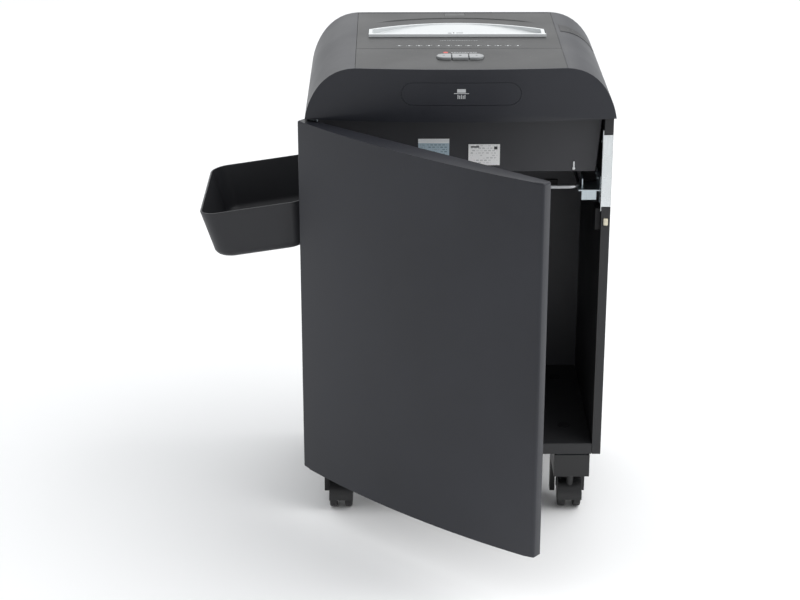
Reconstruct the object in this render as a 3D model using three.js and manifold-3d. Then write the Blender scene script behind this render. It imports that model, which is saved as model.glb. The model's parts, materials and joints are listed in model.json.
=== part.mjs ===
// Deskside paper shredder: a board cabinet on four castors, a bowed door standing open on its left
// hinge, a D-profile shredder head with its cutting mechanism, and a tub tray hooked on the left side.
// Millimetres, +Z up, +X to the right, +Y to the back. The origin is the centre of the cabinet's underside.
import * as THREE from "three";
import { mergeVertices } from "three/addons/utils/BufferGeometryUtils.js";
import Module from "manifold-3d";

const wasm = await Module();
wasm.setup();

// ---------------------------------------------------------------- driving dimensions
const fit = 0.3; // clearance between pieces that touch

// Cabinet boards
const cabinetWidth = 397;
const cabinetDepth = 276;
const cabinetHeight = 484;
const boardThickness = 12;
const baseThickness = 16;
const backThickness = 6;

// Head: a D-profile cover with a bowed front
const headOverhang = 1.5; // past each side of the cabinet
const headForward = 15; // its front corners stand this far ahead of the boards
const headBackward = 4;
const headHeight = 69;
const headWall = 3;
const frontBow = 16; // how far the middle of the front and of the door stands out
const shoulderWidth = 66; // from the side to the flat top
const deckSeam = 135; // half the width of the inset deck panels
const crossSeamSetback = 91; // from the head's front corners to the seam across the deck
const deckBackMargin = 6;
const deckThickness = 3;
const deckFlange = 5;
const flangeDrop = 1.8; // below the deck's underside, to pass under the curved shoulder
const seamGap = 0.5;

// Door
const doorGap = 2; // between the closed door and the boards' front edges
const doorEdgeThickness = 13;
const doorWall = 3;
const doorLinerThickness = 3;
const doorDrop = 13.5; // below the cabinet's underside
const doorTopGap = 4; // below the head
const doorOpenAngle = 41.2; // degrees, as it stands
const hingeInset = 4.5; // pin from the cabinet's side and from its boards' front edges
const hingePinRadius = 2.5;
const hingeEarRadius = 5.6;
const hingeEarThickness = 4.5;
const hingePlateThickness = 3.2;
const hingePlateSize = [47.5, 30]; // the bottom plate, let into the underside
const hingeNotch = 12.5;
const hingeNotchHeight = 14;
const magnetSize = [8, 46]; // width and height of the door magnet
const magnetSetback = 6; // from the door's free end

// Strike plate and interlock in the right board's front edge
const strikeHeight = 98;
const strikeDrop = 26; // below the cabinet's top
const strikeThickness = 1.2;
const plungerSize = [6, 9.4];
const plungerDrop = 140.3; // below the cabinet's top
const plungerProud = 1.6;
const switchSize = [14, 26, 30];

// Mechanism housing below the head
const housingSideGap = 1; // to the boards, at its top
const housingLean = 7.5; // each side comes in this much at its bottom
const housingSetback = 12; // behind the boards' front edges
const housingRearGap = 3; // ahead of the back board
const housingDepth = 79; // below the cabinet's top
const housingWall = 3;
const flangeThickness = 2.4;
const outletHalf = [113, 48]; // shred outlet in its floor
const ratingLabel = { x: 32, size: [41, 28.5], rise: 9 };
const noticeLabel = { x: -33.75, size: [40.5, 26], rise: 19 };
const clipInset = 28.6; // from the housing's side at its bottom
const clipWidth = 2.2;
const clipHeight = 9.5;

// Cutters, gears and motor
const cutterDrop = 29; // shaft axes below the cabinet's top
const cutterSpacing = 40;
const cutterRadius = 22;
const cutterCoreRadius = 14;
const cutterShaftRadius = 6;
const discPitch = 16;
const discThickness = 6;
const discCount = 14;
const shaftClearance = 0.3;
const sidePlateX = 122;
const sidePlateThickness = 3;
const sidePlateRise = 21; // above the cabinet's top
const gearTeeth = 24;
const reductionSmallTeeth = 14;
const reductionLargeTeeth = 48;
const pinionTeeth = 12;
const motorModule = 1.25;
const gearWidth = 9;
const gearSideGap = 2;
const motorRise = 13.4; // motor axis above the cutter shafts
const motorRearGap = 1.8; // to the housing's back wall
const motorRadius = 30;
const motorLength = 130;
const motorShaftRadius = 4;
const boardSize = [100, 68]; // the control board

// Throat insert, slots and chute
const throatHalf = 119;
const throatFrontY = 0.5;
const throatEndDepth = 42.5;
const throatPeakDepth = 77.5;
const throatHeight = 18;
const throatLip = 3.5; // how far its front lip stands up
const throatLipThickness = 4.5;
const throatRim = 4;
const slotHalf = 112;
const slotWidth = 6;
const discSlotHalf = 69;
const discSlotWidth = 6;
const discSlotSetback = 26; // from the paper slot's back edge
const chuteWall = 3;

// Controls
const buttonRow = [61, 20]; // the pill's width and depth
const buttonRowSetback = 44; // from the head's front corners
const buttonGap = 1;
const buttonMiddle = 21;
const buttonProud = 3;
const buttonDepth = 10.5;
const buttonFit = 0.4;
const lightCount = 13;
const lightPitch = 13;
const lightSetback = 106; // from the head's front corners
const lightSize = [3.2, 2.2];
const badgeSize = [152, 29];
const badgeHeight = 37; // centre above the head's base
const badgeThickness = 1.4;
const inlayY = [30, 77];
const inlayReach = 50; // down the shoulder from the deck seam
const inlayThickness = 1.2;
const deckLabelSize = [28, 15];

// Rear connections
const inletInset = 48.5; // from the cabinet's side
const switchInset = 98.5;
const rearRowRise = 27.5; // above the head's base
const inletSize = [28, 22];
const rockerSize = [14, 22];
const connectorDepth = 22;
const connectorFlange = 2;

// Bag frame and its brackets
const bagFrameDrop = 101; // below the cabinet's top
const bagFrameInset = 28.5; // wire's axis from the boards' inner faces
const bagFrameSetback = [14, 46]; // from the boards' front and back edges
const wireRadius = 2.4;
const wallClip = { size: [20, 14], inset: 44.5, drop: 80 };
const bracketReach = 30;
const bracketHeight = 36;

// Tray on the left side
const trayLength = 212;
const trayReach = 147;
const trayDepth = 70;
const trayTaper = 10.6; // each wall leans in this much over the tray's depth
const trayTilt = 8.6; // degrees, outer end down
const trayWall = 2.6;
const trayCorner = 24;
const trayCentreY = -9;
const trayDrop = 122; // its inner rim below the cabinet's top
const hookPitch = 120;
const hookWidth = 12;
const hookDrop = 154;
const hookThickness = 6;
const hookLip = 10;
const hookSlotSpare = 14; // free height above a hook, to lift it out

// Castors
const floorClearance = 96.5;
const castorInset = [38.5, 26]; // swivel axis from the cabinet's side and its front or back
const castorBracket = [49, 70]; // width and depth
const castorBlock = 36.5;
const castorPlateGap = 3.5; // from the underside to each bracket, where its fixing plate goes
const castorLeg = [7, 12, 51]; // thickness, depth and length of a rear leg
const wheelRadius = 21;
const wheelWidth = 11;
const wheelInner = 5.6; // from the castor's middle to a wheel
const hoodWall = 2.5;
const hoodHalf = 16.5;
const castorTrail = 12;
const stemRadius = 5;
const axleRadius = 4;

// ---------------------------------------------------------------- places worked out from them
const halfWidth = cabinetWidth / 2;
const frontY = -cabinetDepth / 2;
const backY = cabinetDepth / 2;
const boardInner = halfWidth - boardThickness;
const headHalf = halfWidth + headOverhang;
const headFrontY = frontY - headForward;
const headBackY = backY + headBackward;
const headBase = cabinetHeight + 0.5;
const headTop = headBase + headHeight;
const crossSeamY = headFrontY + crossSeamSetback;
const doorBackY = frontY - doorGap;
const doorFrontY = doorBackY - doorEdgeThickness;
const doorTop = headBase - doorTopGap;
const pivot = [-halfWidth + hingeInset, frontY + hingeInset];
const slotY = [throatFrontY + throatLipThickness, throatFrontY + throatLipThickness + slotWidth];
const feedLineY = (slotY[0] + slotY[1]) / 2; // the plane that the paper falls in
const strikeTop = cabinetHeight - strikeDrop;
const plungerTop = cabinetHeight - plungerDrop;
const hookZ = cabinetHeight - hookDrop;
const housingBottom = cabinetHeight - housingDepth;
const housingTopHalf = boardInner - housingSideGap;
const cutterZ = cabinetHeight - cutterDrop;
const rearRowZ = headBase + rearRowRise;
const housingFrontY = frontY + housingSetback;
const housingBackY = backY - backThickness - housingRearGap;

// ---------------------------------------------------------------- solids
const X = new THREE.Vector3(1, 0, 0);
const Y = new THREE.Vector3(0, 1, 0);
const Z = new THREE.Vector3(0, 0, 1);
const radians = THREE.MathUtils.degToRad;

// A closed three.js geometry as a manifold solid.
function solid(geometry) {
  const bare = geometry.clone();
  for (const name of Object.keys(bare.attributes)) if (name !== "position") bare.deleteAttribute(name);
  const merged = mergeVertices(bare, 1e-4);
  const corners = [];
  const index = merged.index.array;
  for (let i = 0; i < index.length; i += 3) {
    const [a, b, c] = [index[i], index[i + 1], index[i + 2]];
    if (a !== b && b !== c && c !== a) corners.push(a, b, c);
  }
  const vertProperties = merged.attributes.position.array;
  return new wasm.Manifold(new wasm.Mesh({ numProp: 3, vertProperties, triVerts: new Uint32Array(corners) }));
}

// The manifold solid as a three.js geometry.
function geometryOf(made) {
  const { vertProperties, triVerts } = made.getMesh();
  const geometry = new THREE.BufferGeometry();
  geometry.setAttribute("position", new THREE.BufferAttribute(new Float32Array(vertProperties), 3));
  geometry.setIndex(new THREE.BufferAttribute(new Uint32Array(triVerts), 1));
  return geometry;
}

function box(x, y, z) {
  const geometry = new THREE.BoxGeometry(x[1] - x[0], y[1] - y[0], z[1] - z[0]);
  return solid(geometry.translate((x[0] + x[1]) / 2, (y[0] + y[1]) / 2, (z[0] + z[1]) / 2));
}

// An outline pushed along an axis. Its points are (y, z), (x, z) or (x, y) for the X, Y or Z axis.
function prismGeometry(points, axis, span) {
  const shape = new THREE.Shape(points.map(([a, b]) => new THREE.Vector2(a, b)));
  const geometry = new THREE.ExtrudeGeometry(shape, { depth: span[1] - span[0], bevelEnabled: false });
  const turn = new THREE.Matrix4();
  if (axis === X) turn.makeBasis(Y, Z, X).setPosition(span[0], 0, 0);
  if (axis === Y) turn.makeBasis(X, Z, Y.clone().negate()).setPosition(0, span[1], 0);
  if (axis === Z) turn.makeBasis(X, Y, Z).setPosition(0, 0, span[0]);
  return geometry.applyMatrix4(turn);
}

const prism = (points, axis, span) => solid(prismGeometry(points, axis, span));

// Points of an arc, from one angle to another in radians.
function arc(centre, radius, from, to, steps) {
  return Array.from({ length: steps + 1 }, (_, i) => {
    const angle = from + ((to - from) * i) / steps;
    return [centre[0] + radius * Math.cos(angle), centre[1] + radius * Math.sin(angle)];
  });
}

const circle = (centre, radius, steps = 14) => arc(centre, radius, 0, 2 * Math.PI, steps).slice(0, -1);
const rod = (axis, span, centre, radius, steps) => prism(circle(centre, radius, steps), axis, span);
const join = (...pieces) => pieces.reduce((a, b) => a.add(b));
const cut = (first, ...tools) => tools.reduce((a, b) => a.subtract(b), first);
const around = (centre, size) => [centre - size / 2, centre + size / 2];

function stadium(centre, width, height, steps = 8) {
  const [cx, cz] = centre;
  const radius = height / 2;
  const reach = width / 2 - radius;
  return [
    ...arc([cx + reach, cz], radius, -Math.PI / 2, Math.PI / 2, steps),
    ...arc([cx - reach, cz], radius, Math.PI / 2, (3 * Math.PI) / 2, steps),
  ];
}

function roundedRectangle(width, length, corner, steps = 4) {
  const quarter = Math.PI / 2;
  return [0, 1, 2, 3].flatMap((i) => {
    const sx = i === 0 || i === 3 ? 1 : -1;
    const sy = i < 2 ? 1 : -1;
    const centre = [sx * (width / 2 - corner), sy * (length / 2 - corner)];
    return arc(centre, corner, i * quarter, (i + 1) * quarter, steps);
  });
}

// ---------------------------------------------------------------- scene graph
const shredder = new THREE.Group();
shredder.name = "paper_shredder";

const finish = (color, roughness, metalness = 0) =>
  new THREE.MeshStandardMaterial({ color, roughness, metalness });
const finishes = {
  board: finish(0x2b2c2f, 0.6),
  shell: finish(0x3a3b3f, 0.45),
  deck: finish(0x48494c, 0.5),
  innerBlack: finish(0x222326, 0.6),
  pale: finish(0xe9ebee, 0.35),
  button: finish(0xb9bbbd, 0.4),
  lamp: finish(0xdfe3e6, 0.3),
  label: finish(0xf2f3f4, 0.7),
  paleBlue: finish(0xabc2cc, 0.6),
  cream: finish(0xe6e0cc, 0.6),
  zinc: finish(0xc3ccd0, 0.35, 0.9),
  brightSteel: finish(0xd7dadc, 0.25, 1),
  steel: finish(0x8c9094, 0.4, 1),
  gear: finish(0xdad6c8, 0.5),
  brass: finish(0xb79a55, 0.35, 1),
  circuit: finish(0x2c5b3c, 0.6),
  castor: finish(0x1f2023, 0.5),
};

function add(name, made, material, parent = shredder) {
  const mesh = new THREE.Mesh(geometryOf(made), material);
  mesh.name = name;
  parent.add(mesh);
}

// ---------------------------------------------------------------- cabinet
function hookSlots() {
  const reach = [-halfWidth - 1, -boardInner + 1];
  return [-1, 1].map((side) =>
    box(
      reach,
      around(trayCentreY + (side * hookPitch) / 2, hookWidth + 4),
      [hookZ - fit, hookZ + hookThickness + hookSlotSpare],
    ),
  );
}

// The bottom hinge plate lies in the underside, a little short of flush.
const hingePlateX = [-halfWidth + 0.5, -halfWidth + 0.5 + hingePlateSize[0]];
const hingePlateY = [frontY, frontY + hingePlateSize[1]];
const hingePlateZ = [fit, fit + hingePlateThickness];

function hingeRecess() {
  return box(
    [-halfWidth - 1, hingePlateX[1] + fit],
    [frontY - 1, hingePlateY[1] + fit],
    [-1, hingePlateZ[1] + fit],
  );
}

function cabinet() {
  const height = [0, cabinetHeight];
  const depth = [frontY, backY];
  const notchTop = box(
    [-halfWidth - 1, -boardInner + 1],
    [frontY - 1, frontY + hingeNotch],
    [cabinetHeight - hingeNotchHeight, cabinetHeight + 1],
  );
  const left = cut(box([-halfWidth, -boardInner], depth, height), notchTop, hingeRecess(), ...hookSlots());
  add("cabinet_left_panel", left, finishes.board);

  const strikeRebate = box(
    [boardInner - 1, halfWidth + 1],
    [frontY - 1, frontY + strikeThickness + fit],
    [strikeTop - strikeHeight - fit, strikeTop + fit],
  );
  const plungerHole = box(
    around(boardInner + boardThickness / 2, plungerSize[0] + 2 * fit),
    [frontY - 1, frontY + switchSize[1]],
    [plungerTop - plungerSize[1] - fit, plungerTop + fit],
  );
  const switchPocket = box(
    [boardInner - 1, boardInner + boardThickness / 2],
    [frontY + boardThickness - fit, frontY + switchSize[1] + boardThickness + fit],
    around(plungerTop - plungerSize[1] / 2, switchSize[2] + 2 * fit),
  );
  const right = cut(box([boardInner, halfWidth], depth, height), strikeRebate, plungerHole, switchPocket);
  add("cabinet_right_panel", right, finishes.board);

  const inner = [-boardInner + fit, boardInner - fit];
  add("cabinet_base", cut(box(inner, depth, [0, baseThickness]), hingeRecess()), finishes.board);
  const backSpan = [baseThickness + fit, cabinetHeight];
  add("cabinet_back_panel", box(inner, [backY - backThickness, backY], backSpan), finishes.board);
}

// ---------------------------------------------------------------- door
// The plan of a bowed front: flat ends joined by one arc, set in all round by `inset`.
function bowedPlan(half, endY, backEdgeY, inset, steps = 20) {
  const radius = (half * half + frontBow * frontBow) / (2 * frontBow);
  const centre = [0, endY - frontBow + radius];
  const swing = Math.asin((half - inset) / (radius - inset));
  return [
    [half - inset, backEdgeY],
    [-half + inset, backEdgeY],
    ...arc(centre, radius - inset, -Math.PI / 2 - swing, -Math.PI / 2 + swing, steps),
  ];
}

// Everything on the door is built closed, then hung in a group that turns about the hinge pins.
function door() {
  const hung = new THREE.Group();
  hung.position.set(pivot[0], pivot[1], 0);
  hung.rotation.z = -radians(doorOpenAngle);
  shredder.add(hung);
  const onPivot = (made) => made.translate([-pivot[0], -pivot[1], 0]);

  const outside = prism(bowedPlan(halfWidth, doorFrontY, doorBackY, 0), Z, [-doorDrop, doorTop]);
  const hollowPlan = bowedPlan(halfWidth, doorFrontY, doorBackY + 1, doorWall);
  const hollow = prism(hollowPlan, Z, [-doorDrop + doorWall, doorTop - doorWall]);
  add("door_shell", onPivot(cut(outside, hollow)), finishes.shell, hung);

  const linerHalf = halfWidth - doorWall - fit;
  const linerSpan = [-doorDrop + doorWall + fit, doorTop - doorWall - fit];
  const linerY = [doorBackY - doorLinerThickness, doorBackY];
  const magnetX = [linerHalf - magnetSetback - magnetSize[0], linerHalf - magnetSetback];
  const magnetZ = around(strikeTop - strikeHeight / 2, magnetSize[1]);
  const magnetPocket = box(
    [magnetX[0] - fit, magnetX[1] + fit],
    [doorBackY - 2, doorBackY + 1],
    [magnetZ[0] - fit, magnetZ[1] + fit],
  );
  let liner = cut(box([-linerHalf, linerHalf], linerY, linerSpan), magnetPocket);
  for (const earZ of hingeEars()) {
    const arm = box(
      [pivot[0] - 1, pivot[0] + hingeEarRadius],
      [doorBackY - doorLinerThickness / 2, pivot[1]],
      earZ,
    );
    const ear = join(arm, rod(Z, earZ, pivot, hingeEarRadius));
    liner = cut(join(liner, ear), rod(Z, [earZ[0] - 1, earZ[1] + 1], pivot, hingePinRadius + fit));
  }
  add("door_liner", onPivot(liner), finishes.innerBlack, hung);
  add("door_magnet", onPivot(box(magnetX, [doorBackY - 2 + fit, doorBackY], magnetZ)), finishes.steel, hung);
}

// Height spans of the two hinge ears, bottom first.
function hingeEars() {
  const bottom = -doorDrop + doorWall + fit + 0.7;
  const top = cabinetHeight - hingeNotchHeight + 2.2;
  return [
    [bottom, bottom + hingeEarThickness],
    [top, top + hingeEarThickness],
  ];
}

function hingeBrackets() {
  const [bottomEar, topEar] = hingeEars();
  const bottomPlate = join(
    box(hingePlateX, hingePlateY, hingePlateZ),
    rod(Z, [bottomEar[0] - 0.5, hingePlateZ[0] + 1], pivot, hingePinRadius),
  );
  add("hinge_bracket_bottom", bottomPlate, finishes.zinc);

  const plateZ = [topEar[1] + 1, topEar[1] + 1 + hingePlateThickness];
  const topPlate = join(
    box([-halfWidth + 0.5, -boardInner + 2.5], [frontY + 0.5, frontY + 11], plateZ),
    box([-boardInner + fit, -boardInner + 2.5], [frontY + 0.5, frontY + 11], [plateZ[0] - 30, plateZ[1]]),
    rod(Z, [topEar[0] - 0.5, plateZ[0]], pivot, hingePinRadius),
  );
  add("hinge_bracket_top", topPlate, finishes.zinc);
}

function strikeAndInterlock() {
  const span = [strikeTop - strikeHeight, strikeTop];
  const face = box([boardInner - strikeThickness - fit, halfWidth - 0.6], [frontY, frontY + strikeThickness], span);
  const flangeX = [boardInner - strikeThickness - fit, boardInner - fit];
  const flange = box(flangeX, [frontY, frontY + 9], [span[0] - 6, span[1] + 6]);
  add("strike_plate", join(face, flange), finishes.brightSteel);

  const plungerX = around(boardInner + boardThickness / 2, plungerSize[0]);
  const plungerZ = [plungerTop - plungerSize[1], plungerTop];
  const plunger = box(plungerX, [frontY - plungerProud, frontY + boardThickness - 3], plungerZ);
  add("interlock_plunger", plunger, finishes.cream);

  const switchX = [boardInner - switchSize[0] / 2, boardInner + boardThickness / 2 - fit];
  const switchY = [frontY + boardThickness, frontY + boardThickness + switchSize[1]];
  const middle = plungerTop - plungerSize[1] / 2;
  add("interlock_switch", box(switchX, switchY, around(middle, switchSize[2])), finishes.innerBlack);
}

// ---------------------------------------------------------------- head
// One shoulder from the side's foot up to the flat top, moved in by `inset` along its normal.
function shoulder(inset, steps = 9) {
  const curve = new THREE.CubicBezierCurve(
    new THREE.Vector2(headHalf, headBase),
    new THREE.Vector2(headHalf - 4, headBase + 26),
    new THREE.Vector2(headHalf - 22, headTop - 1.5),
    new THREE.Vector2(headHalf - shoulderWidth, headTop),
  );
  return Array.from({ length: steps + 1 }, (_, i) => {
    const at = curve.getPoint(i / steps);
    const along = curve.getTangent(i / steps);
    return [at.x - along.y * inset, at.y + along.x * inset];
  });
}

function headProfile(inset, foot) {
  const right = shoulder(inset);
  right[0][1] = headBase;
  const top = headTop - inset;
  right[right.length - 1][1] = top;
  const outline = foot < headBase ? [[right[0][0], foot], ...right] : right;
  return [...outline, ...outline.map(([x, z]) => [-x, z]).reverse()];
}

function headBlock(inset, foot = headBase) {
  const along = prism(headProfile(inset, foot), Y, [headFrontY - frontBow - 2, headBackY - inset]);
  const plan = bowedPlan(headHalf, headFrontY, headBackY - inset, inset);
  return along.intersect(prism(plan, Z, [foot - 1, headTop + 1]));
}

// The flat top between the two side seams: everything behind the front wall, down to `floor`.
function deckWell(inset, ySpan, floor) {
  const half = deckSeam - inset;
  const plan = bowedPlan(headHalf, headFrontY, headBackY, headWall + 0.5 + inset);
  return box([-half, half], ySpan, [floor, headTop + 2]).intersect(prism(plan, Z, [floor, headTop + 2]));
}

const deckSpan = [headFrontY - frontBow, headBackY - deckBackMargin];

function buttonOutlines() {
  const y = headFrontY + buttonRowSetback;
  const half = buttonRow[0] / 2;
  const middle = buttonMiddle / 2;
  const radius = buttonRow[1] / 2;
  const flat = Math.PI / 2;
  const leftEnd = arc([-half + radius, y], radius, flat, 3 * flat, 8);
  const rightEnd = arc([half - radius, y], radius, -flat, flat, 8);
  const inner = middle + buttonGap;
  return {
    button_reverse: [...leftEnd, [-inner, y - radius], [-inner, y + radius]],
    button_auto: [
      [-middle, y - radius],
      [middle, y - radius],
      [middle, y + radius],
      [-middle, y + radius],
    ],
    button_forward: [...rightEnd, [inner, y + radius], [inner, y - radius]],
  };
}

const lightX = (i) => (i - (lightCount - 1) / 2) * lightPitch;
const lightY = headFrontY + lightSetback;

// Plan of the throat insert: straight front, short ends and a back arc, grown by `grow`.
function throatPlan(grow) {
  const half = throatHalf + grow;
  const rise = throatPeakDepth - throatEndDepth;
  const radius = (throatHalf * throatHalf + rise * rise) / (2 * rise);
  const centre = [0, throatFrontY + throatPeakDepth - radius];
  const swing = Math.asin(half / (radius + grow));
  return [
    [-half, throatFrontY - grow],
    [half, throatFrontY - grow],
    ...arc(centre, radius + grow, Math.PI / 2 - swing, Math.PI / 2 + swing, 16),
  ];
}

function badgeOutline(grow) {
  return stadium([0, headBase + badgeHeight], badgeSize[0] + 2 * grow, badgeSize[1] + 2 * grow);
}

function inlayRegion(grow) {
  const x = [deckSeam + 4 - grow, deckSeam + 4 + inlayReach + grow];
  return box(x, [inlayY[0] - grow, inlayY[1] + grow], [headBase + 20, headTop + 5]);
}

function headCover() {
  const rearY = [headBackY - headWall - 1, headBackY + 1];
  const rearHole = (inset, width, height) =>
    box(around(halfWidth - inset, width + 2 * fit), rearY, around(rearRowZ, height + 2 * fit));
  const deckLevel = headTop - deckThickness;
  const badgeFront = prism(badgeOutline(fit), Y, [headFrontY - frontBow - 5, headFrontY]);
  const cover = cut(
    headBlock(0),
    headBlock(headWall, headBase - 3),
    deckWell(0, deckSpan, deckLevel - 1),
    badgeFront.subtract(headBlock(badgeThickness + fit, headBase - 3)),
    inlayRegion(fit).subtract(headBlock(inlayThickness + fit, headBase - 3)),
    rearHole(inletInset, inletSize[0], inletSize[1]),
    rearHole(switchInset, rockerSize[0] + 4, rockerSize[1] + 4),
  );
  add("head_cover", cover, finishes.shell);

  const badge = prism(badgeOutline(0), Y, [headFrontY - frontBow - 5, headFrontY]).intersect(
    headBlock(0).subtract(headBlock(badgeThickness, headBase - 3)),
  );
  add("badge_plate", badge, finishes.innerBlack);
  const inlay = inlayRegion(0).intersect(headBlock(0).subtract(headBlock(inlayThickness, headBase - 3)));
  add("side_inlay", inlay, finishes.innerBlack);
}

// A deck panel with side flanges that catch under the cover.
function deckPanel(ySpan) {
  const level = headTop - deckThickness;
  const panel = deckWell(seamGap, ySpan, level).intersect(box([-deckSeam, deckSeam], ySpan, [level, headTop]));
  const flangeZ = [level - flangeDrop - 2.4, level - flangeDrop];
  const flangeY = [ySpan[0] + 30, ySpan[1] - 2];
  const flanges = [-1, 1].map((side) => {
    const x = [deckSeam - 6, deckSeam + deckFlange].map((reach) => side * reach).sort((a, b) => a - b);
    const web = [deckSeam - 6, deckSeam - seamGap].map((reach) => side * reach).sort((a, b) => a - b);
    return join(box(x, flangeY, flangeZ), box(web, flangeY, [flangeZ[0], level + 1]));
  });
  return join(panel, ...flanges);
}

function deck() {
  const level = [headTop - deckThickness - 4, headTop + 2];
  const lightHoles = Array.from({ length: lightCount }, (_, i) =>
    box(around(lightX(i), lightSize[0] + 2 * fit), around(lightY, lightSize[1] + 2 * fit), level),
  );
  const labelY = around(deckSpan[1] - 10, deckLabelSize[1]);
  const labelPocket = box(
    around(0, deckLabelSize[0] + 2 * fit),
    [labelY[0] - fit, labelY[1] + fit],
    [headTop - 1, headTop + 1],
  );
  const rearSpan = [crossSeamY + seamGap / 2, deckSpan[1] - seamGap];
  const rear = cut(deckPanel(rearSpan), prism(throatPlan(fit), Z, level), labelPocket, ...lightHoles);
  add("rear_deck", rear, finishes.deck);
  add("deck_label", box(around(0, deckLabelSize[0]), labelY, [headTop - 1 + fit, headTop]), finishes.button);

  const holes = Object.values(buttonOutlines()).map((outline) => {
    const centreY = headFrontY + buttonRowSetback;
    const xs = outline.map(([x]) => x);
    const grow = 1 + (2 * buttonFit) / (Math.max(...xs) - Math.min(...xs));
    const growY = 1 + (2 * buttonFit) / buttonRow[1];
    const middleX = (Math.max(...xs) + Math.min(...xs)) / 2;
    const grown = outline.map(([x, y]) => [middleX + (x - middleX) * grow, centreY + (y - centreY) * growY]);
    return prism(grown, Z, level);
  });
  const frontSpan = [deckSpan[0], crossSeamY - seamGap / 2];
  add("control_strip", cut(deckPanel(frontSpan), ...holes), finishes.deck);

  for (const [name, outline] of Object.entries(buttonOutlines())) {
    const reach = [headTop + buttonProud - buttonDepth, headTop + buttonProud];
    add(name, prism(outline, Z, reach), finishes.button);
  }

  const barTop = headTop - deckThickness - fit;
  const bar = box([lightX(0) - 5, lightX(lightCount - 1) + 5], around(lightY, 6), [barTop - 4, barTop]);
  const posts = Array.from({ length: lightCount }, (_, i) =>
    box(around(lightX(i), lightSize[0]), around(lightY, lightSize[1]), [barTop - 1, headTop]),
  );
  add("indicator_light_guide", join(bar, ...posts), finishes.lamp);
}

function throat() {
  const base = headTop - throatHeight;
  const slope = prism(
    [
      [slotY[0], headTop + throatLip + 5],
      [slotY[0], base + 5],
      [slotY[1], base + 5],
      [throatFrontY + throatPeakDepth, headTop],
      [throatFrontY + throatPeakDepth, headTop + throatLip + 5],
    ],
    X,
    [-slotHalf - 2, slotHalf + 2],
  ).intersect(prism(throatPlan(-throatRim), Z, [base, headTop + throatLip + 5]));
  const paperSlot = box([-slotHalf, slotHalf], slotY, [base - 10, headTop + throatLip + 5]);
  const discSlotY = [slotY[1] + discSlotSetback - discSlotWidth, slotY[1] + discSlotSetback];
  const discSlot = box([-discSlotHalf, discSlotHalf], discSlotY, [base - 10, headTop + 5]);
  const lip = box(
    [-throatHalf, throatHalf],
    [throatFrontY, throatFrontY + throatLipThickness],
    [headTop - 1, headTop + throatLip],
  );
  const underDeck = headTop - deckThickness - fit;
  const flange = prism(throatPlan(3), Z, [underDeck - 2.5, underDeck]);
  const body = join(prism(throatPlan(0), Z, [base, headTop]), flange, lip);
  add("throat_insert", cut(body, slope, paperSlot, discSlot), finishes.pale);

  const chuteZ = [cutterZ + cutterRadius + 5, base - fit];
  const chute = cut(
    box([-slotHalf - chuteWall, slotHalf + chuteWall], [slotY[0] - chuteWall, slotY[1] + chuteWall], chuteZ),
    box([-slotHalf, slotHalf], slotY, [chuteZ[0] - 1, chuteZ[1] + 1]),
  );
  add("feed_chute", chute, finishes.innerBlack);
}

// ---------------------------------------------------------------- mechanism housing
// A box whose sides lean in towards the bottom, open at the top.
function leaningBox(topHalf, bottomHalf, ySpan, zSpan) {
  const outline = [
    [-bottomHalf, zSpan[0]],
    [bottomHalf, zSpan[0]],
    [topHalf, zSpan[1]],
    [-topHalf, zSpan[1]],
  ];
  return prism(outline, Y, ySpan);
}

function housing() {
  const top = cabinetHeight + fit;
  const outer = leaningBox(housingTopHalf, housingTopHalf - housingLean, [housingFrontY, housingBackY], [housingBottom, top]);
  const wall = housingWall;
  const innerY = [housingFrontY + wall, housingBackY - wall];
  const innerZ = [housingBottom + wall, top + flangeThickness + 1];
  const inner = leaningBox(housingTopHalf - wall, housingTopHalf - housingLean - wall, innerY, innerZ);
  const flange = box(
    [-headHalf + headWall + 1, headHalf - headWall - 1],
    [headFrontY + headWall + 1, headBackY - headWall - 1],
    [top, top + flangeThickness],
  );
  const outlet = box(
    [-outletHalf[0], outletHalf[0]],
    [feedLineY - outletHalf[1], feedLineY + outletHalf[1]],
    [housingBottom - 1, housingBottom + wall + 1],
  );
  add("mechanism_housing", cut(join(outer, flange), inner, outlet), finishes.shell);

  const plateY = [housingFrontY - 0.9, housingFrontY - fit];
  const labelZ = (label) => [housingBottom + label.rise, housingBottom + label.rise + label.size[1]];
  const labelBox = (label) => box(around(label.x, label.size[0]), plateY, labelZ(label));
  add("rating_label", labelBox(ratingLabel), finishes.label);
  add("notice_label", labelBox(noticeLabel), finishes.paleBlue);
  const clipY = [housingFrontY - 1.5, housingFrontY - fit];
  const clipX = housingTopHalf - housingLean - clipInset;
  const clipFoot = housingBottom + 4.5;
  const clip = join(
    rod(Y, clipY, [clipX, clipFoot], clipWidth * 0.9),
    box(around(clipX, clipWidth), clipY, [clipFoot, clipFoot + clipHeight]),
  );
  add("housing_clip", clip, finishes.label);
}

// ---------------------------------------------------------------- cutting mechanism
const gearModule = cutterSpacing / gearTeeth;
const shaftY = [feedLineY - cutterSpacing / 2, feedLineY + cutterSpacing / 2];
const reductionReach = (gearModule * (gearTeeth + reductionSmallTeeth)) / 2;
const motorReach = (motorModule * (reductionLargeTeeth + pinionTeeth)) / 2;
const motorCentre = [housingBackY - housingWall - motorRearGap - motorRadius, cutterZ + motorRise];

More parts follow.
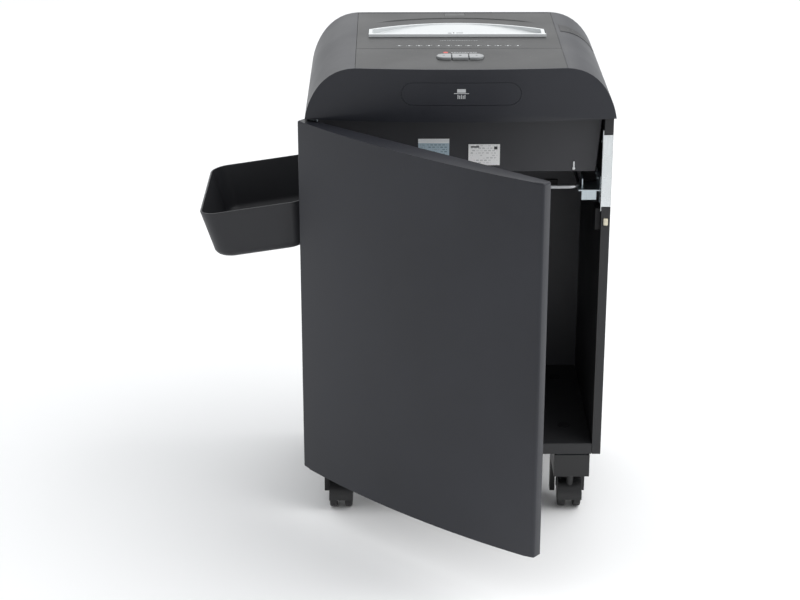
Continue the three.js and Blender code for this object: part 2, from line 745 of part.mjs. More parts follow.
// The reduction gear stands above the line from the rear shaft to the motor, in mesh with both.
const motorAway = Math.hypot(motorCentre[0] - shaftY[1], motorRise);
const motorLine = Math.atan2(motorRise, motorCentre[0] - shaftY[1]);
const spread = Math.acos(
  (reductionReach ** 2 + motorAway ** 2 - motorReach ** 2) / (2 * reductionReach * motorAway),
);
const reductionAngle = motorLine + spread;
const reductionCentre = [
  shaftY[1] + reductionReach * Math.cos(reductionAngle),
  cutterZ + reductionReach * Math.sin(reductionAngle),
];
const pinionAngle = Math.atan2(motorCentre[1] - reductionCentre[1], motorCentre[0] - reductionCentre[0]);
const gearOuterX = -sidePlateX - sidePlateThickness - gearSideGap;
const gearSpan = [gearOuterX - gearWidth, gearOuterX];
const reductionSpan = [gearSpan[0] - gearSideGap - gearWidth, gearSpan[0] - gearSideGap];

// Outline of a spur gear, with one tooth centred on `toothAngle`.
function gearOutline(teeth, module, centre, toothAngle) {
  const tip = (module * teeth) / 2 + 0.8 * module;
  const root = (module * teeth) / 2 - 1.15 * module;
  const pitch = (2 * Math.PI) / teeth;
  return Array.from({ length: teeth }, (_, i) => {
    const middle = toothAngle + i * pitch;
    return [
      [root, -0.29],
      [tip, -0.11],
      [tip, 0.11],
      [root, 0.29],
    ].map(([radius, share]) => {
      const angle = middle + share * pitch;
      return [centre[0] + radius * Math.cos(angle), centre[1] + radius * Math.sin(angle)];
    });
  }).flat();
}

// A cutter: discs on a core, on a shaft that runs past both side plates.
function cutter(y, count, shaftEndX) {
  const profile = [[0, -shaftEndX], [cutterShaftRadius, -shaftEndX]];
  const firstX = (-(count - 1) / 2) * discPitch;
  const coreEnd = -firstX + discThickness;
  profile.push([cutterShaftRadius, -coreEnd], [cutterCoreRadius, -coreEnd]);
  for (let i = 0; i < count; i++) {
    const [low, high] = around(firstX + i * discPitch, discThickness);
    profile.push([cutterCoreRadius, low], [cutterRadius, low], [cutterRadius, high], [cutterCoreRadius, high]);
  }
  const farEnd = sidePlateX + sidePlateThickness + 3;
  profile.push([cutterCoreRadius, coreEnd], [cutterShaftRadius, coreEnd], [cutterShaftRadius, farEnd], [0, farEnd]);
  const turned = new THREE.LatheGeometry(
    profile.map(([radius, along]) => new THREE.Vector2(radius, along)),
    12,
  );
  return solid(turned.rotateZ(-Math.PI / 2).translate(0, y, cutterZ));
}

// A comb whose fingers reach between the discs and strip shreds off the core.
function stripper(y, side, count) {
  const reach = [y + side * (cutterCoreRadius + 1.5), y + side * (cutterRadius + 6)].sort((a, b) => a - b);
  const spine = [y + side * (cutterRadius + 2), y + side * (cutterRadius + 6)].sort((a, b) => a - b);
  const half = sidePlateX - fit;
  const fingers = Array.from({ length: count - 1 }, (_, i) => {
    const x = (i - (count - 2) / 2) * discPitch;
    return box(around(x, discPitch - discThickness - 3), reach, around(cutterZ, 10));
  });
  return join(box([-half, half], spine, [cutterZ - 16, cutterZ + 16]), ...fingers);
}

function mechanism() {
  const [frontShaft, rearShaft] = shaftY;
  add("cutter_front", cutter(frontShaft, discCount, sidePlateX + sidePlateThickness + 1), finishes.steel);
  add("cutter_rear", cutter(rearShaft, discCount - 1, sidePlateX + sidePlateThickness + 1), finishes.steel);

  // Gears that mesh: one tooth of the front gear points at a gap of the rear gear.
  const half = Math.PI / gearTeeth;
  const front = prism(gearOutline(gearTeeth, gearModule, [frontShaft, cutterZ], 0), X, gearSpan);
  add("gear_front", front, finishes.gear);
  const rear = prism(gearOutline(gearTeeth, gearModule, [rearShaft, cutterZ], Math.PI + half), X, gearSpan);
  add("gear_rear", rear, finishes.gear);

  // The reduction gear's small teeth fall in the rear gear's gap that lies on the line between them.
  const line = reductionAngle;
  const rearPitch = (2 * Math.PI) / gearTeeth;
  const ahead = (line - (Math.PI + half)) / rearPitch;
  const offset = (ahead - Math.round(ahead)) * rearPitch;
  const smallPhase = line + Math.PI + (offset * gearTeeth) / reductionSmallTeeth + Math.PI / reductionSmallTeeth;
  const small = prism(
    gearOutline(reductionSmallTeeth, gearModule, reductionCentre, smallPhase),
    X,
    [reductionSpan[1] - 1, gearSpan[1]],
  );
  const large = prism(gearOutline(reductionLargeTeeth, motorModule, reductionCentre, pinionAngle), X, reductionSpan);
  const stub = rod(X, [reductionSpan[0] - 4, -sidePlateX], reductionCentre, motorShaftRadius);
  add("reduction_gear", join(small, large, stub), finishes.gear);

  const canStart = -sidePlateX + 3;
  const pinionPhase = pinionAngle + Math.PI + Math.PI / pinionTeeth;
  const pinionOutline = gearOutline(pinionTeeth, motorModule, motorCentre, pinionPhase);
  const pinion = join(
    prism(pinionOutline, X, reductionSpan),
    rod(X, [reductionSpan[1] - 1, canStart - fit], motorCentre, motorShaftRadius),
  );
  add("motor_pinion", pinion, finishes.brass);

  const can = rod(X, [canStart, canStart + motorLength], motorCentre, motorRadius, 20);
  const cap = rod(X, [canStart + motorLength - 1, canStart + motorLength + 8], motorCentre, motorRadius * 0.45);
  add("motor", join(can, cap), finishes.steel);

  for (const [name, side] of [["side_plate_left", -1], ["side_plate_right", 1]]) {
    const x = [side * sidePlateX, side * (sidePlateX + sidePlateThickness)].sort((a, b) => a - b);
    const through = [x[0] - 1, x[1] + 1];
    const hole = (centre, radius) => rod(X, through, centre, radius + shaftClearance);
    const plateY = [frontShaft - cutterRadius - 12, motorCentre[0] + motorRadius];
    const plate = cut(
      box(x, plateY, [housingBottom + housingWall + fit, cabinetHeight + sidePlateRise]),
      ...shaftY.map((y) => hole([y, cutterZ], cutterShaftRadius)),
      hole(reductionCentre, motorShaftRadius),
      hole(motorCentre, motorShaftRadius),
    );
    add(name, plate, finishes.zinc);
  }
  add("stripper_front", stripper(frontShaft, -1, discCount), finishes.innerBlack);
  add("stripper_rear", stripper(rearShaft, 1, discCount - 1), finishes.innerBlack);
}

function controlBoard() {
  const faceX = sidePlateX + sidePlateThickness + 16;
  const y = around(feedLineY - 2, boardSize[0]);
  const z = [cutterZ - 25, cutterZ - 25 + boardSize[1]];
  const posts = [
    [y[0] + 8, z[0] + 8],
    [y[0] + 8, z[1] - 8],
    [y[1] - 8, z[0] + 8],
    [y[1] - 8, z[1] - 8],
  ].map((at) => rod(X, [sidePlateX + sidePlateThickness + fit, faceX + 1], at, 3.5, 10));
  const parts = [
    box([faceX, faceX + 1.6], y, z),
    box([faceX, faceX + 14], [y[0] + 14, y[0] + 40], [z[1] - 34, z[1] - 8]),
    box([faceX, faceX + 10], [y[0] + 50, y[0] + 70], [z[0] + 8, z[0] + 26]),
    rod(X, [faceX, faceX + 18], [y[1] - 20, z[1] - 18], 8, 16),
  ];
  add("control_board", join(...parts, ...posts), finishes.circuit);
}

// ---------------------------------------------------------------- rear connections
function rearConnections() {
  const inletX = halfWidth - inletInset;
  const rockerX = halfWidth - switchInset;
  const inside = headBackY - connectorDepth;
  const flangeY = [headBackY + fit, headBackY + fit + connectorFlange];
  const bodyY = [inside, headBackY + fit + 1];
  const body = join(
    box(around(inletX, inletSize[0]), bodyY, around(rearRowZ, inletSize[1])),
    box(around(inletX, inletSize[0] + 10), flangeY, around(rearRowZ, inletSize[1] + 6)),
  );
  const well = box(around(inletX, 23), [inside + 3, headBackY + 10], around(rearRowZ, 16));
  const pins = [-7, 0, 7].map((x, i) =>
    box(around(inletX + x, 2), [inside + 2, headBackY - 6], around(rearRowZ + (i === 1 ? 3 : -2), 4)),
  );
  add("power_inlet", join(cut(body, well), ...pins), finishes.innerBlack);

  const frameInner = [rockerSize[0] + 1.2, rockerSize[1] + 1.2];
  const frame = cut(
    join(
      box(around(rockerX, rockerSize[0] + 4), bodyY, around(rearRowZ, rockerSize[1] + 4)),
      box(around(rockerX, rockerSize[0] + 9), flangeY, around(rearRowZ, rockerSize[1] + 9)),
    ),
    box(around(rockerX, frameInner[0]), [inside + 3, headBackY + 10], around(rearRowZ, frameInner[1])),
  );
  add("switch_frame", frame, finishes.innerBlack);

  // The rocker's outer face is a shallow V, one half pressed in.
  const pivotY = headBackY - 7;
  const half = rockerSize[1] / 2 - 0.6;
  const outline = [
    [pivotY - 3, rearRowZ],
    [pivotY + 1.5, rearRowZ + half - 1.5],
    [pivotY + 9.5, rearRowZ + half - 2],
    [pivotY + 7.2, rearRowZ],
    [pivotY + 5.5, rearRowZ - half + 0.3],
    [pivotY - 1.5, rearRowZ - half + 0.8],
  ].reverse();
  add("rocker_switch", prism(outline, X, around(rockerX, rockerSize[0])), finishes.innerBlack);
}

// ---------------------------------------------------------------- bag frame
function bagFrame() {
  const bagFrameZ = cabinetHeight - bagFrameDrop;
  const bagFrameHalf = boardInner - bagFrameInset;
  const bagFrameY = [frontY + bagFrameSetback[0], backY - bagFrameSetback[1]];
  const corners = [
    [-bagFrameHalf, bagFrameY[0]],
    [bagFrameHalf, bagFrameY[0]],
    [bagFrameHalf, bagFrameY[1]],
    [-bagFrameHalf, bagFrameY[1]],
  ];
  const wireX = (y) => rod(X, [-bagFrameHalf, bagFrameHalf], [y, bagFrameZ], wireRadius, 8);
  const wireY = (x) => rod(Y, bagFrameY, [x, bagFrameZ], wireRadius, 8);
  const knuckles = corners.map(([x, y]) => {
    const ball = new THREE.SphereGeometry(wireRadius * 1.04, 8, 6);
    return solid(ball.translate(x, y, bagFrameZ));
  });
  const loop = join(wireX(bagFrameY[0]), wireX(bagFrameY[1]), wireY(-bagFrameHalf), wireY(bagFrameHalf), ...knuckles);
  add("bag_frame", loop, finishes.steel);

  const shelfTop = bagFrameZ - wireRadius - fit;
  for (const [name, side] of [["bag_bracket_left", -1], ["bag_bracket_right", 1]]) {
    const at = (low, high) => [side * low, side * high].sort((a, b) => a - b);
    const wallX = at(boardInner - 2.3, boardInner - fit);
    const plateZ = [shelfTop - 18, shelfTop - 18 + bracketHeight];
    const plate = box(wallX, [frontY + 10, frontY + 60], plateZ);
    const shelf = box(at(boardInner - bracketReach, boardInner - 1), [frontY + 10, frontY + 48], [shelfTop - 2, shelfTop]);
    const stopX = bagFrameHalf + wireRadius + 1;
    const stop = box(at(stopX, stopX + 2), [frontY + 20, frontY + 44], [shelfTop - 1, shelfTop + 12]);
    const lip = box(at(boardInner - bracketReach + 4, boardInner - 6), [frontY + 10, frontY + 12], [shelfTop - 14, shelfTop]);
    add(name, join(plate, shelf, stop, lip), finishes.zinc);
  }

  const clipY = [backY - backThickness - fit - 2, backY - backThickness - fit];
  const clipPlace = [boardInner - wallClip.inset, bagFrameZ - wallClip.drop];
  const [width, height] = wallClip.size;
  const hole = rod(Y, [clipY[0] - 1, clipY[1] + 1], [clipPlace[0] - width * 0.2, clipPlace[1]], height * 0.19);
  const clip = cut(box(around(clipPlace[0], width), clipY, around(clipPlace[1], height)), hole);
  add("wall_clip", clip, finishes.innerBlack);
}

// ---------------------------------------------------------------- tray
// A rounded tub that narrows towards its floor; its rim's inner edge is the local origin line x = 0.
function tubSolid(wall, floorZ) {
  const outline = roundedRectangle(trayReach - 2 * wall, trayLength - 2 * wall, trayCorner - wall);
  const depth = trayDepth + (wall > 0 ? 1 : 0);
  const geometry = prismGeometry(outline, Z, [-depth, wall > 0 ? 1 : 0]);
  const place = geometry.getAttribute("position");
  for (let i = 0; i < place.count; i++) {
    const drop = -place.getZ(i);
    const lean = (trayTaper * drop) / trayDepth;
    place.setX(i, place.getX(i) * (1 - lean / (trayReach / 2)));
    place.setY(i, place.getY(i) * (1 - lean / (trayLength / 2)));
  }
  const tub = solid(geometry.translate(-trayReach / 2, 0, 0));
  return floorZ === undefined ? tub : tub.intersect(box([-400, 400], [-400, 400], [floorZ, 50]));
}

function tray() {
  const wallX = -halfWidth - fit - 0.4;
  const tub = cut(tubSolid(0), tubSolid(trayWall, -trayDepth + trayWall));
  const hung = tub.rotate([0, -trayTilt, 0]).translate([wallX, trayCentreY, cabinetHeight - trayDrop]);
  const hooks = [-1, 1].map((side) => {
    const y = around(trayCentreY + (side * hookPitch) / 2, hookWidth);
    const bar = box([wallX - trayWall * 0.8, -boardInner + fit + 4], y, [hookZ, hookZ + hookThickness]);
    const lip = box([-boardInner + fit, -boardInner + fit + 4], y, [hookZ - hookLip, hookZ + hookThickness]);
    return join(bar, lip);
  });
  add("tray", join(hung, ...hooks), finishes.shell);
}

// ---------------------------------------------------------------- castors
// One castor and its bracket. The legs stand on the side that faces the cabinet's middle.
function castor(name, x, y, inward) {
  const bracketY = [y - inward * (castorBracket[1] / 2 - 13), y + inward * (castorBracket[1] / 2 + 13)];
  bracketY.sort((a, b) => a - b);
  const half = castorBracket[0] / 2;
  const block = box([x - half, x + half], bracketY, [-castorBlock, -castorPlateGap]);
  const pocket = box([x - half + 7, x + half - 7], [bracketY[0] + 7, bracketY[1] - 7], [-castorBlock + 6, 1]);
  const innerEnd = y + inward * (castorBracket[1] / 2 + 13);
  const legY = [innerEnd, innerEnd - inward * castorLeg[1]].sort((a, b) => a - b);
  const legs = [-1, 1].map((side) => {
    const legX = [x + side * half, x + side * (half - castorLeg[0])].sort((a, b) => a - b);
    return box(legX, legY, [-castorBlock - castorLeg[2], -castorBlock + 1]);
  });
  const socket = rod(Z, [-castorBlock - 1, -castorBlock + 7], [x, y], stemRadius + fit, 16);
  add(`castor_${name}_bracket`, cut(join(block, ...legs), pocket, socket), finishes.castor);

  const axleY = y + inward * castorTrail;
  const axleZ = -floorClearance + wheelRadius;
  const hoodRadius = wheelRadius + hoodWall + 0.6;
  const fender = rod(X, [x - hoodHalf, x + hoodHalf], [axleY, axleZ], hoodRadius, 20);
  const wells = [-1, 1].map((side) => {
    const wellX = [x + side * (wheelInner - 0.6), x + side * (hoodHalf + 1)].sort((a, b) => a - b);
    return rod(X, wellX, [axleY, axleZ], wheelRadius + 0.6, 20);
  });
  const below = box([x - 30, x + 30], [axleY - 40, axleY + 40], [axleZ - 60, axleZ - 3]);
  const web = join(
    box([x - wheelInner + 0.6, x + wheelInner - 0.6], around(axleY, 14), [axleZ - 7, axleZ + 5]),
    cut(fender, ...wells, below),
  );
  const stem = rod(Z, [axleZ + 6, -castorBlock + 6], [x, y], stemRadius, 16);
  const bore = rod(X, [x - hoodHalf, x + hoodHalf], [axleY, axleZ], axleRadius + fit);
  const stemNeck = cut(stem, ...wells);
  add(`castor_${name}_hood`, cut(join(web, stemNeck), bore), finishes.castor);

  const rim = wheelRadius - 1.5;
  const profile = [
    [0, -wheelInner - wheelWidth],
    [rim - 6, -wheelInner - wheelWidth],
    [rim, -wheelInner - wheelWidth + 0.8],
    [wheelRadius, -wheelInner - wheelWidth + 2.5],
    [wheelRadius, -wheelInner - 0.8],
    [rim, -wheelInner],
    [axleRadius, -wheelInner],
  ];
  const mirrored = profile.map(([radius, along]) => [radius, -along]).reverse();
  const turned = new THREE.LatheGeometry(
    [...profile, ...mirrored].map(([radius, along]) => new THREE.Vector2(radius, along)),
    20,
  );
  add(`castor_${name}_wheels`, solid(turned.rotateZ(-Math.PI / 2).translate(x, axleY, axleZ)), finishes.castor);
}

// ---------------------------------------------------------------- assembly
cabinet();
door();
hingeBrackets();
strikeAndInterlock();
headCover();
deck();
throat();
housing();
mechanism();
controlBoard();
rearConnections();
bagFrame();
tray();
const castorX = halfWidth - castorInset[0];
const castorY = backY - castorInset[1];
castor("fl", -castorX, -castorY, 1);
castor("fr", castorX, -castorY, 1);
castor("rl", -castorX, castorY, -1);
castor("rr", castorX, castorY, -1);

export default shredder;
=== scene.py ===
"""Looks of a deskside paper shredder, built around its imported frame. Lengths are in metres."""

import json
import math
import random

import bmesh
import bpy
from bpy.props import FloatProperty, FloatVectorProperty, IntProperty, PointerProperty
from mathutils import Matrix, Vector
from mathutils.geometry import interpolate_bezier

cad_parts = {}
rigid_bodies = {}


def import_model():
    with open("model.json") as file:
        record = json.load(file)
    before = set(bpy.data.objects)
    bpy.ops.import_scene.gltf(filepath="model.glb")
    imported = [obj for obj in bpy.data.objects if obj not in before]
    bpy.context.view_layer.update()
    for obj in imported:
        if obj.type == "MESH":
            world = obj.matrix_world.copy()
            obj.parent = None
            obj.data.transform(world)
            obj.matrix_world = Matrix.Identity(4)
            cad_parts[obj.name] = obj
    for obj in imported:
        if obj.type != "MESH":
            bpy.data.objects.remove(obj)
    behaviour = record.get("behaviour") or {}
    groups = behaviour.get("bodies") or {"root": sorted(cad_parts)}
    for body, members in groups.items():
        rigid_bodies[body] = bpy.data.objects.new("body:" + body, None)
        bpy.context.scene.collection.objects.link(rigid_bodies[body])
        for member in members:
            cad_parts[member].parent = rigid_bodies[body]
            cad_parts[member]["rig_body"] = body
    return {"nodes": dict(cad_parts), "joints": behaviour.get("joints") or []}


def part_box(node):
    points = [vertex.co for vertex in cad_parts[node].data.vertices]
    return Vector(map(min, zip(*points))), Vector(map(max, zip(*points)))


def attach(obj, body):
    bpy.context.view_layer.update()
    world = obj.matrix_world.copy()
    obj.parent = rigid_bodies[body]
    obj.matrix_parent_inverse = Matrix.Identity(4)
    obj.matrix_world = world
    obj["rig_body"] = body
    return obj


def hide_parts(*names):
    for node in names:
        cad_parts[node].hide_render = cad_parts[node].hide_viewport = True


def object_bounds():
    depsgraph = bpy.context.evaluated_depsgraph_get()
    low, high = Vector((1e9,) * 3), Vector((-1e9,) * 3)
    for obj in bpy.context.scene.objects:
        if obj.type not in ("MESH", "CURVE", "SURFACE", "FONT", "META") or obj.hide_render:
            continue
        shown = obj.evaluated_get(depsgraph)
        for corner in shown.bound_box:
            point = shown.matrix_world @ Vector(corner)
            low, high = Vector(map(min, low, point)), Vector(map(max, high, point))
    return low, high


bl_info = {
    "name": "Deskside paper shredder",
    "version": (1, 0, 0),
    "blender": (4, 5, 0),
    "location": "3D View > Sidebar > Shredder",
    "description": "Builds the covers, door, tray and finishes of a paper shredder round its frame",
    "category": "Add Mesh",
}

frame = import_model()
cad_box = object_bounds()

MM = 0.001
UP = Vector((0, 0, 1))
RIGHT = Vector((1, 0, 0))
BACK = Vector((0, 1, 0))
VERT = bmesh.types.BMVert
EDGE = bmesh.types.BMEdge
CASTORS = ("fl", "fr", "rl", "rr")
joints = {joint["name"]: joint for joint in frame["joints"]}


# ---------------------------------------------------------------- sizes and colours
def length(name, description, default):
    return FloatProperty(name=name, description=description, default=default, unit="LENGTH", precision=5)


def colour(name, description, default):
    return FloatVectorProperty(
        name=name, description=description, default=default, subtype="COLOR", size=3, min=0, max=1
    )


class ShredderSizes(bpy.types.PropertyGroup):
    """Sizes that the frame leaves open."""

    front_bow: length("Front bow", "How far the middle of the head and door stands out", 16 * MM)
    cover_wall: length("Cover wall", "Wall of the moulded head cover", 3 * MM)
    front_roll: length("Front roll", "Radius of the head's rolled front edge", 3.2 * MM)
    rear_roll: length("Rear roll", "Radius of the head's rear edge", 2.6 * MM)
    shoulder_width: length("Shoulder", "From the head's side to its flat top", 66 * MM)
    seam: length("Seam", "Gap round the deck panels", 0.5 * MM)
    door_gap: length("Door gap", "From the closed door to the boards", 2 * MM)
    door_end: length("Door end", "Thickness of the door at its two ends", 13 * MM)
    door_edge: length("Door edge", "Radius of the door's front edges", 2.6 * MM)
    board_edge: length("Board edge", "Rounding of the cabinet boards", 0.9 * MM)
    tray_corner: length("Tray corner", "Upright corner radius of the tray", 24 * MM)
    tray_floor: length("Tray floor", "Radius between the tray's walls and floor", 15 * MM)
    tray_taper: length("Tray taper", "How far each tray wall leans in over its depth", 10.6 * MM)
    wire_corner: length("Wire corner", "Bend radius of the bag frame", 14 * MM)
    wheel_steps: IntProperty(name="Wheel steps", description="Steps round a wheel", default=48, min=12)
    seed: IntProperty(name="Seed", description="Seed of the small differences", default=7, min=0)


class ShredderColours(bpy.types.PropertyGroup):
    """Colours of the finishes."""

    shell: colour("Shell", "Satin charcoal covers and door", (0.0212, 0.0224, 0.0280))
    deck: colour("Deck", "Satin charcoal deck panels", (0.0170, 0.0174, 0.0174))
    board: colour("Board", "Laminate of the cabinet boards", (0.0205, 0.0208, 0.0225))
    inner: colour("Inner", "Unpolished black parts", (0.010, 0.010, 0.0112))
    pale: colour("Insert", "Glossy feed insert", (0.63, 0.65, 0.655))
    button: colour("Button", "Light grey buttons", (0.27, 0.28, 0.285))
    lamp: colour("Lamp", "Indicator windows", (0.55, 0.57, 0.58))
    label: colour("Label", "Printed white label", (0.90, 0.90, 0.90))
    pale_blue: colour("Notice", "Printed pale blue label", (0.42, 0.53, 0.60))
    cream: colour("Plunger", "Cream interlock plunger", (0.72, 0.67, 0.52))
    zinc: colour("Zinc", "Plated brackets", (0.50, 0.56, 0.59))
    steel: colour("Steel", "Bare steel", (0.42, 0.43, 0.44))
    bright: colour("Bright steel", "Strike plate", (0.66, 0.69, 0.70))
    nylon: colour("Nylon", "Moulded gears", (0.62, 0.60, 0.52))
    brass: colour("Brass", "Motor pinion", (0.48, 0.33, 0.11))
    circuit: colour("Circuit", "Control board", (0.02, 0.10, 0.045))
    castor: colour("Castor", "Castor nylon", (0.0095, 0.0095, 0.0105))
    tray: colour("Tray", "Desk tray", (0.0250, 0.0255, 0.0290))
    dot: colour("Dot", "Printed coloured dot", (0.55, 0.045, 0.03))
    lining: colour("Lining", "Mechanism housing and the back board", (0.042, 0.0425, 0.0475))


def sizes():
    return bpy.context.scene.shredder_sizes


def colours():
    return bpy.context.scene.shredder_colours


# ---------------------------------------------------------------- node groups shared by the finishes
def node_group(name, inputs, outputs):
    """A new shader group. Inputs are (name, type, default), outputs (name, type)."""
    tree = bpy.data.node_groups.new(name, "ShaderNodeTree")
    for label, kind, default in inputs:
        socket = tree.interface.new_socket(label, in_out="INPUT", socket_type=kind)
        if default is not None:
            socket.default_value = default
    for label, kind in outputs:
        tree.interface.new_socket(label, in_out="OUTPUT", socket_type=kind)
    return tree, tree.nodes.new("NodeGroupInput"), tree.nodes.new("NodeGroupOutput")


def noise(tree, vector, scale, detail=2.0, roughness=0.5):
    """A noise node. Its scale is a number, or a socket to read it from."""
    node = tree.nodes.new("ShaderNodeTexNoise")
    node.inputs["Detail"].default_value = detail
    node.inputs["Roughness"].default_value = roughness
    tree.links.new(vector, node.inputs["Vector"])
    if isinstance(scale, (int, float)):
        node.inputs["Scale"].default_value = scale
    else:
        tree.links.new(scale, node.inputs["Scale"])
    return node.outputs["Fac"]


def spread(tree, value, low, high, to_low=0.0, to_high=1.0):
    """The value's stretch from low to high, as to_low to to_high."""
    node = tree.nodes.new("ShaderNodeMapRange")
    for label, number in zip(("From Min", "From Max", "To Min", "To Max"), (low, high, to_low, to_high)):
        node.inputs[label].default_value = number
    tree.links.new(value, node.inputs["Value"])
    return node.outputs["Result"]


def arithmetic(tree, operation, first, second):
    """A math node on sockets or numbers."""
    node = tree.nodes.new("ShaderNodeMath")
    node.operation = operation
    for value, socket in zip((first, second), node.inputs):
        if isinstance(value, (int, float)):
            socket.default_value = value
        else:
            tree.links.new(value, socket)
    return node.outputs["Value"]


def moulded_surface():
    """Spark-eroded plastic: fine grain, slow mottling, and dust that settles on what faces up."""
    tree, given, put = node_group(
        "moulded_surface",
        [
            ("Vector", "NodeSocketVector", None),
            ("Grain Scale", "NodeSocketFloat", 1400.0),
            ("Mottle Scale", "NodeSocketFloat", 9.0),
        ],
        [("Height", "NodeSocketFloat"), ("Mottle", "NodeSocketFloat"), ("Dust", "NodeSocketFloat")],
    )
    vector = given.outputs["Vector"]
    fine = noise(tree, vector, given.outputs["Grain Scale"], 3.0, 0.6)
    slow = noise(tree, vector, given.outputs["Mottle Scale"], 4.0, 0.55)
    specks = spread(tree, noise(tree, vector, 620.0, 1.0), 0.69, 0.75)
    patches = spread(tree, noise(tree, vector, 14.0, 3.0), 0.42, 0.62)
    facing = tree.nodes.new("ShaderNodeSeparateXYZ")
    geometry = tree.nodes.new("ShaderNodeNewGeometry")
    tree.links.new(geometry.outputs["Normal"], facing.inputs["Vector"])
    up = spread(tree, facing.outputs["Z"], 0.5, 0.95)
    dust = arithmetic(tree, "MULTIPLY", arithmetic(tree, "MULTIPLY", specks, patches), up)
    tree.links.new(fine, put.inputs["Height"])
    tree.links.new(spread(tree, slow, 0.32, 0.68), put.inputs["Mottle"])
    tree.links.new(dust, put.inputs["Dust"])
    return tree


def drawn_streaks():
    """Long fine streaks of drawn or rolled metal, and faint blotches of plating."""
    tree, given, put = node_group(
        "drawn_streaks",
        [("Vector", "NodeSocketVector", None), ("Blotch Scale", "NodeSocketFloat", 40.0)],
        [("Height", "NodeSocketFloat"), ("Streak", "NodeSocketFloat"), ("Blotch", "NodeSocketFloat")],
    )
    stretched = tree.nodes.new("ShaderNodeMapping")
    stretched.inputs["Scale"].default_value = (900.0, 900.0, 26.0)
    tree.links.new(given.outputs["Vector"], stretched.inputs["Vector"])
    streak = noise(tree, stretched.outputs["Vector"], 1.0, 2.0)
    blotch = noise(tree, given.outputs["Vector"], given.outputs["Blotch Scale"], 4.0, 0.6)
    tree.links.new(streak, put.inputs["Height"])
    tree.links.new(spread(tree, streak, 0.3, 0.7), put.inputs["Streak"])
    tree.links.new(spread(tree, blotch, 0.35, 0.65), put.inputs["Blotch"])
    return tree


def printed_rows():
    """Rows of short bars, as generic print. Vector runs along the rows in X and across them in Y."""
    tree, given, put = node_group(
        "printed_rows",
        [("Vector", "NodeSocketVector", None), ("Row", "NodeSocketFloat", 0.0026)],
        [("Ink", "NodeSocketFloat")],
    )
    bricks = tree.nodes.new("ShaderNodeTexBrick")
    bricks.inputs["Color1"].default_value = (1, 1, 1, 1)
    bricks.inputs["Color2"].default_value = (0.25, 0.25, 0.25, 1)
    bricks.inputs["Mortar"].default_value = (0, 0, 0, 1)
    bricks.inputs["Scale"].default_value = 1.0
    bricks.inputs["Brick Width"].default_value = 0.0052
    bricks.inputs["Mortar Size"].default_value = 0.00085
    bricks.inputs["Mortar Smooth"].default_value = 0.0
    tree.links.new(given.outputs["Row"], bricks.inputs["Row Height"])
    tree.links.new(given.outputs["Vector"], bricks.inputs["Vector"])
    gaps = spread(tree, noise(tree, given.outputs["Vector"], 130.0, 1.0), 0.45, 0.47)
    ink = arithmetic(tree, "MULTIPLY", bricks.outputs["Color"], gaps)
    tree.links.new(ink, put.inputs["Ink"])
    return tree


GROUP_MAKERS = {maker.__name__: maker for maker in (moulded_surface, drawn_streaks, printed_rows)}


class Finish:
    """A material being made: its tree, its shader and the object coordinates that its patterns follow."""

    def __init__(self, name, roughness, metallic=0.0, specular=0.5, coat=0.0, coat_roughness=0.1):
        self.material = bpy.data.materials.new(name)
        self.material.use_nodes = True
        self.tree = self.material.node_tree
        self.shader = self.tree.nodes["Principled BSDF"]
        self.shader.inputs["Roughness"].default_value = roughness
        self.shader.inputs["Metallic"].default_value = metallic
        self.shader.inputs["Specular IOR Level"].default_value = specular
        self.shader.inputs["Coat Weight"].default_value = coat
        self.shader.inputs["Coat Roughness"].default_value = coat_roughness
        self.vector = self.tree.nodes.new("ShaderNodeTexCoord").outputs["Object"]

    def group(self, name, **values):
        """One shared group, made when it is first asked for, with its own values here."""
        node = self.tree.nodes.new("ShaderNodeGroup")
        node.node_tree = bpy.data.node_groups.get(name) or GROUP_MAKERS[name]()
        self.tree.links.new(self.vector, node.inputs["Vector"])
        for label, value in values.items():
            node.inputs[label.replace("_", " ")].default_value = value
        return node.outputs

    def mix(self, factor, first, second):
        """Two colours mixed by a factor. Each is a colour or a socket."""
        node = self.tree.nodes.new("ShaderNodeMix")
        node.data_type = "RGBA"
        self.tree.links.new(factor, node.inputs["Factor"])
        for value, socket in ((first, node.inputs[6]), (second, node.inputs[7])):
            if isinstance(value, bpy.types.NodeSocket):
                self.tree.links.new(value, socket)
            else:
                socket.default_value = (*value, 1.0)
        return node.outputs[2]

    def roughen(self, mask, low, high):
        self.tree.links.new(spread(self.tree, mask, 0.0, 1.0, low, high), self.shader.inputs["Roughness"])

    def bump(self, height, strength, distance):
        node = self.tree.nodes.new("ShaderNodeBump")
        node.inputs["Strength"].default_value = strength
        node.inputs["Distance"].default_value = distance
        self.tree.links.new(height, node.inputs["Height"])
        self.tree.links.new(node.outputs["Normal"], self.shader.inputs["Normal"])

    def base(self, value):
        self.tree.links.new(value, self.shader.inputs["Base Color"])


def shade(tone, factor):
    return tuple(min(1.0, part * factor) for part in tone)


def moulded(
    name, tone, roughness, grain=1400.0, depth=0.05 * MM, contrast=0.10, dust=0.25, specular=0.5, coat=0.0
):
    """Moulded plastic: mottled tone, grain in the relief, and a little dust on top."""
    made = Finish(name, roughness, specular=specular, coat=coat)
    surface = made.group("moulded_surface", Grain_Scale=grain)
    body = made.mix(surface["Mottle"], shade(tone, 1 - contrast), shade(tone, 1 + contrast))
    veil = arithmetic(made.tree, "MULTIPLY", surface["Dust"], dust)
    made.base(made.mix(veil, body, (0.30, 0.29, 0.27)))
    made.roughen(surface["Mottle"], roughness - 0.035, roughness + 0.035)
    made.bump(surface["Height"], 0.35, depth)
    return made.material


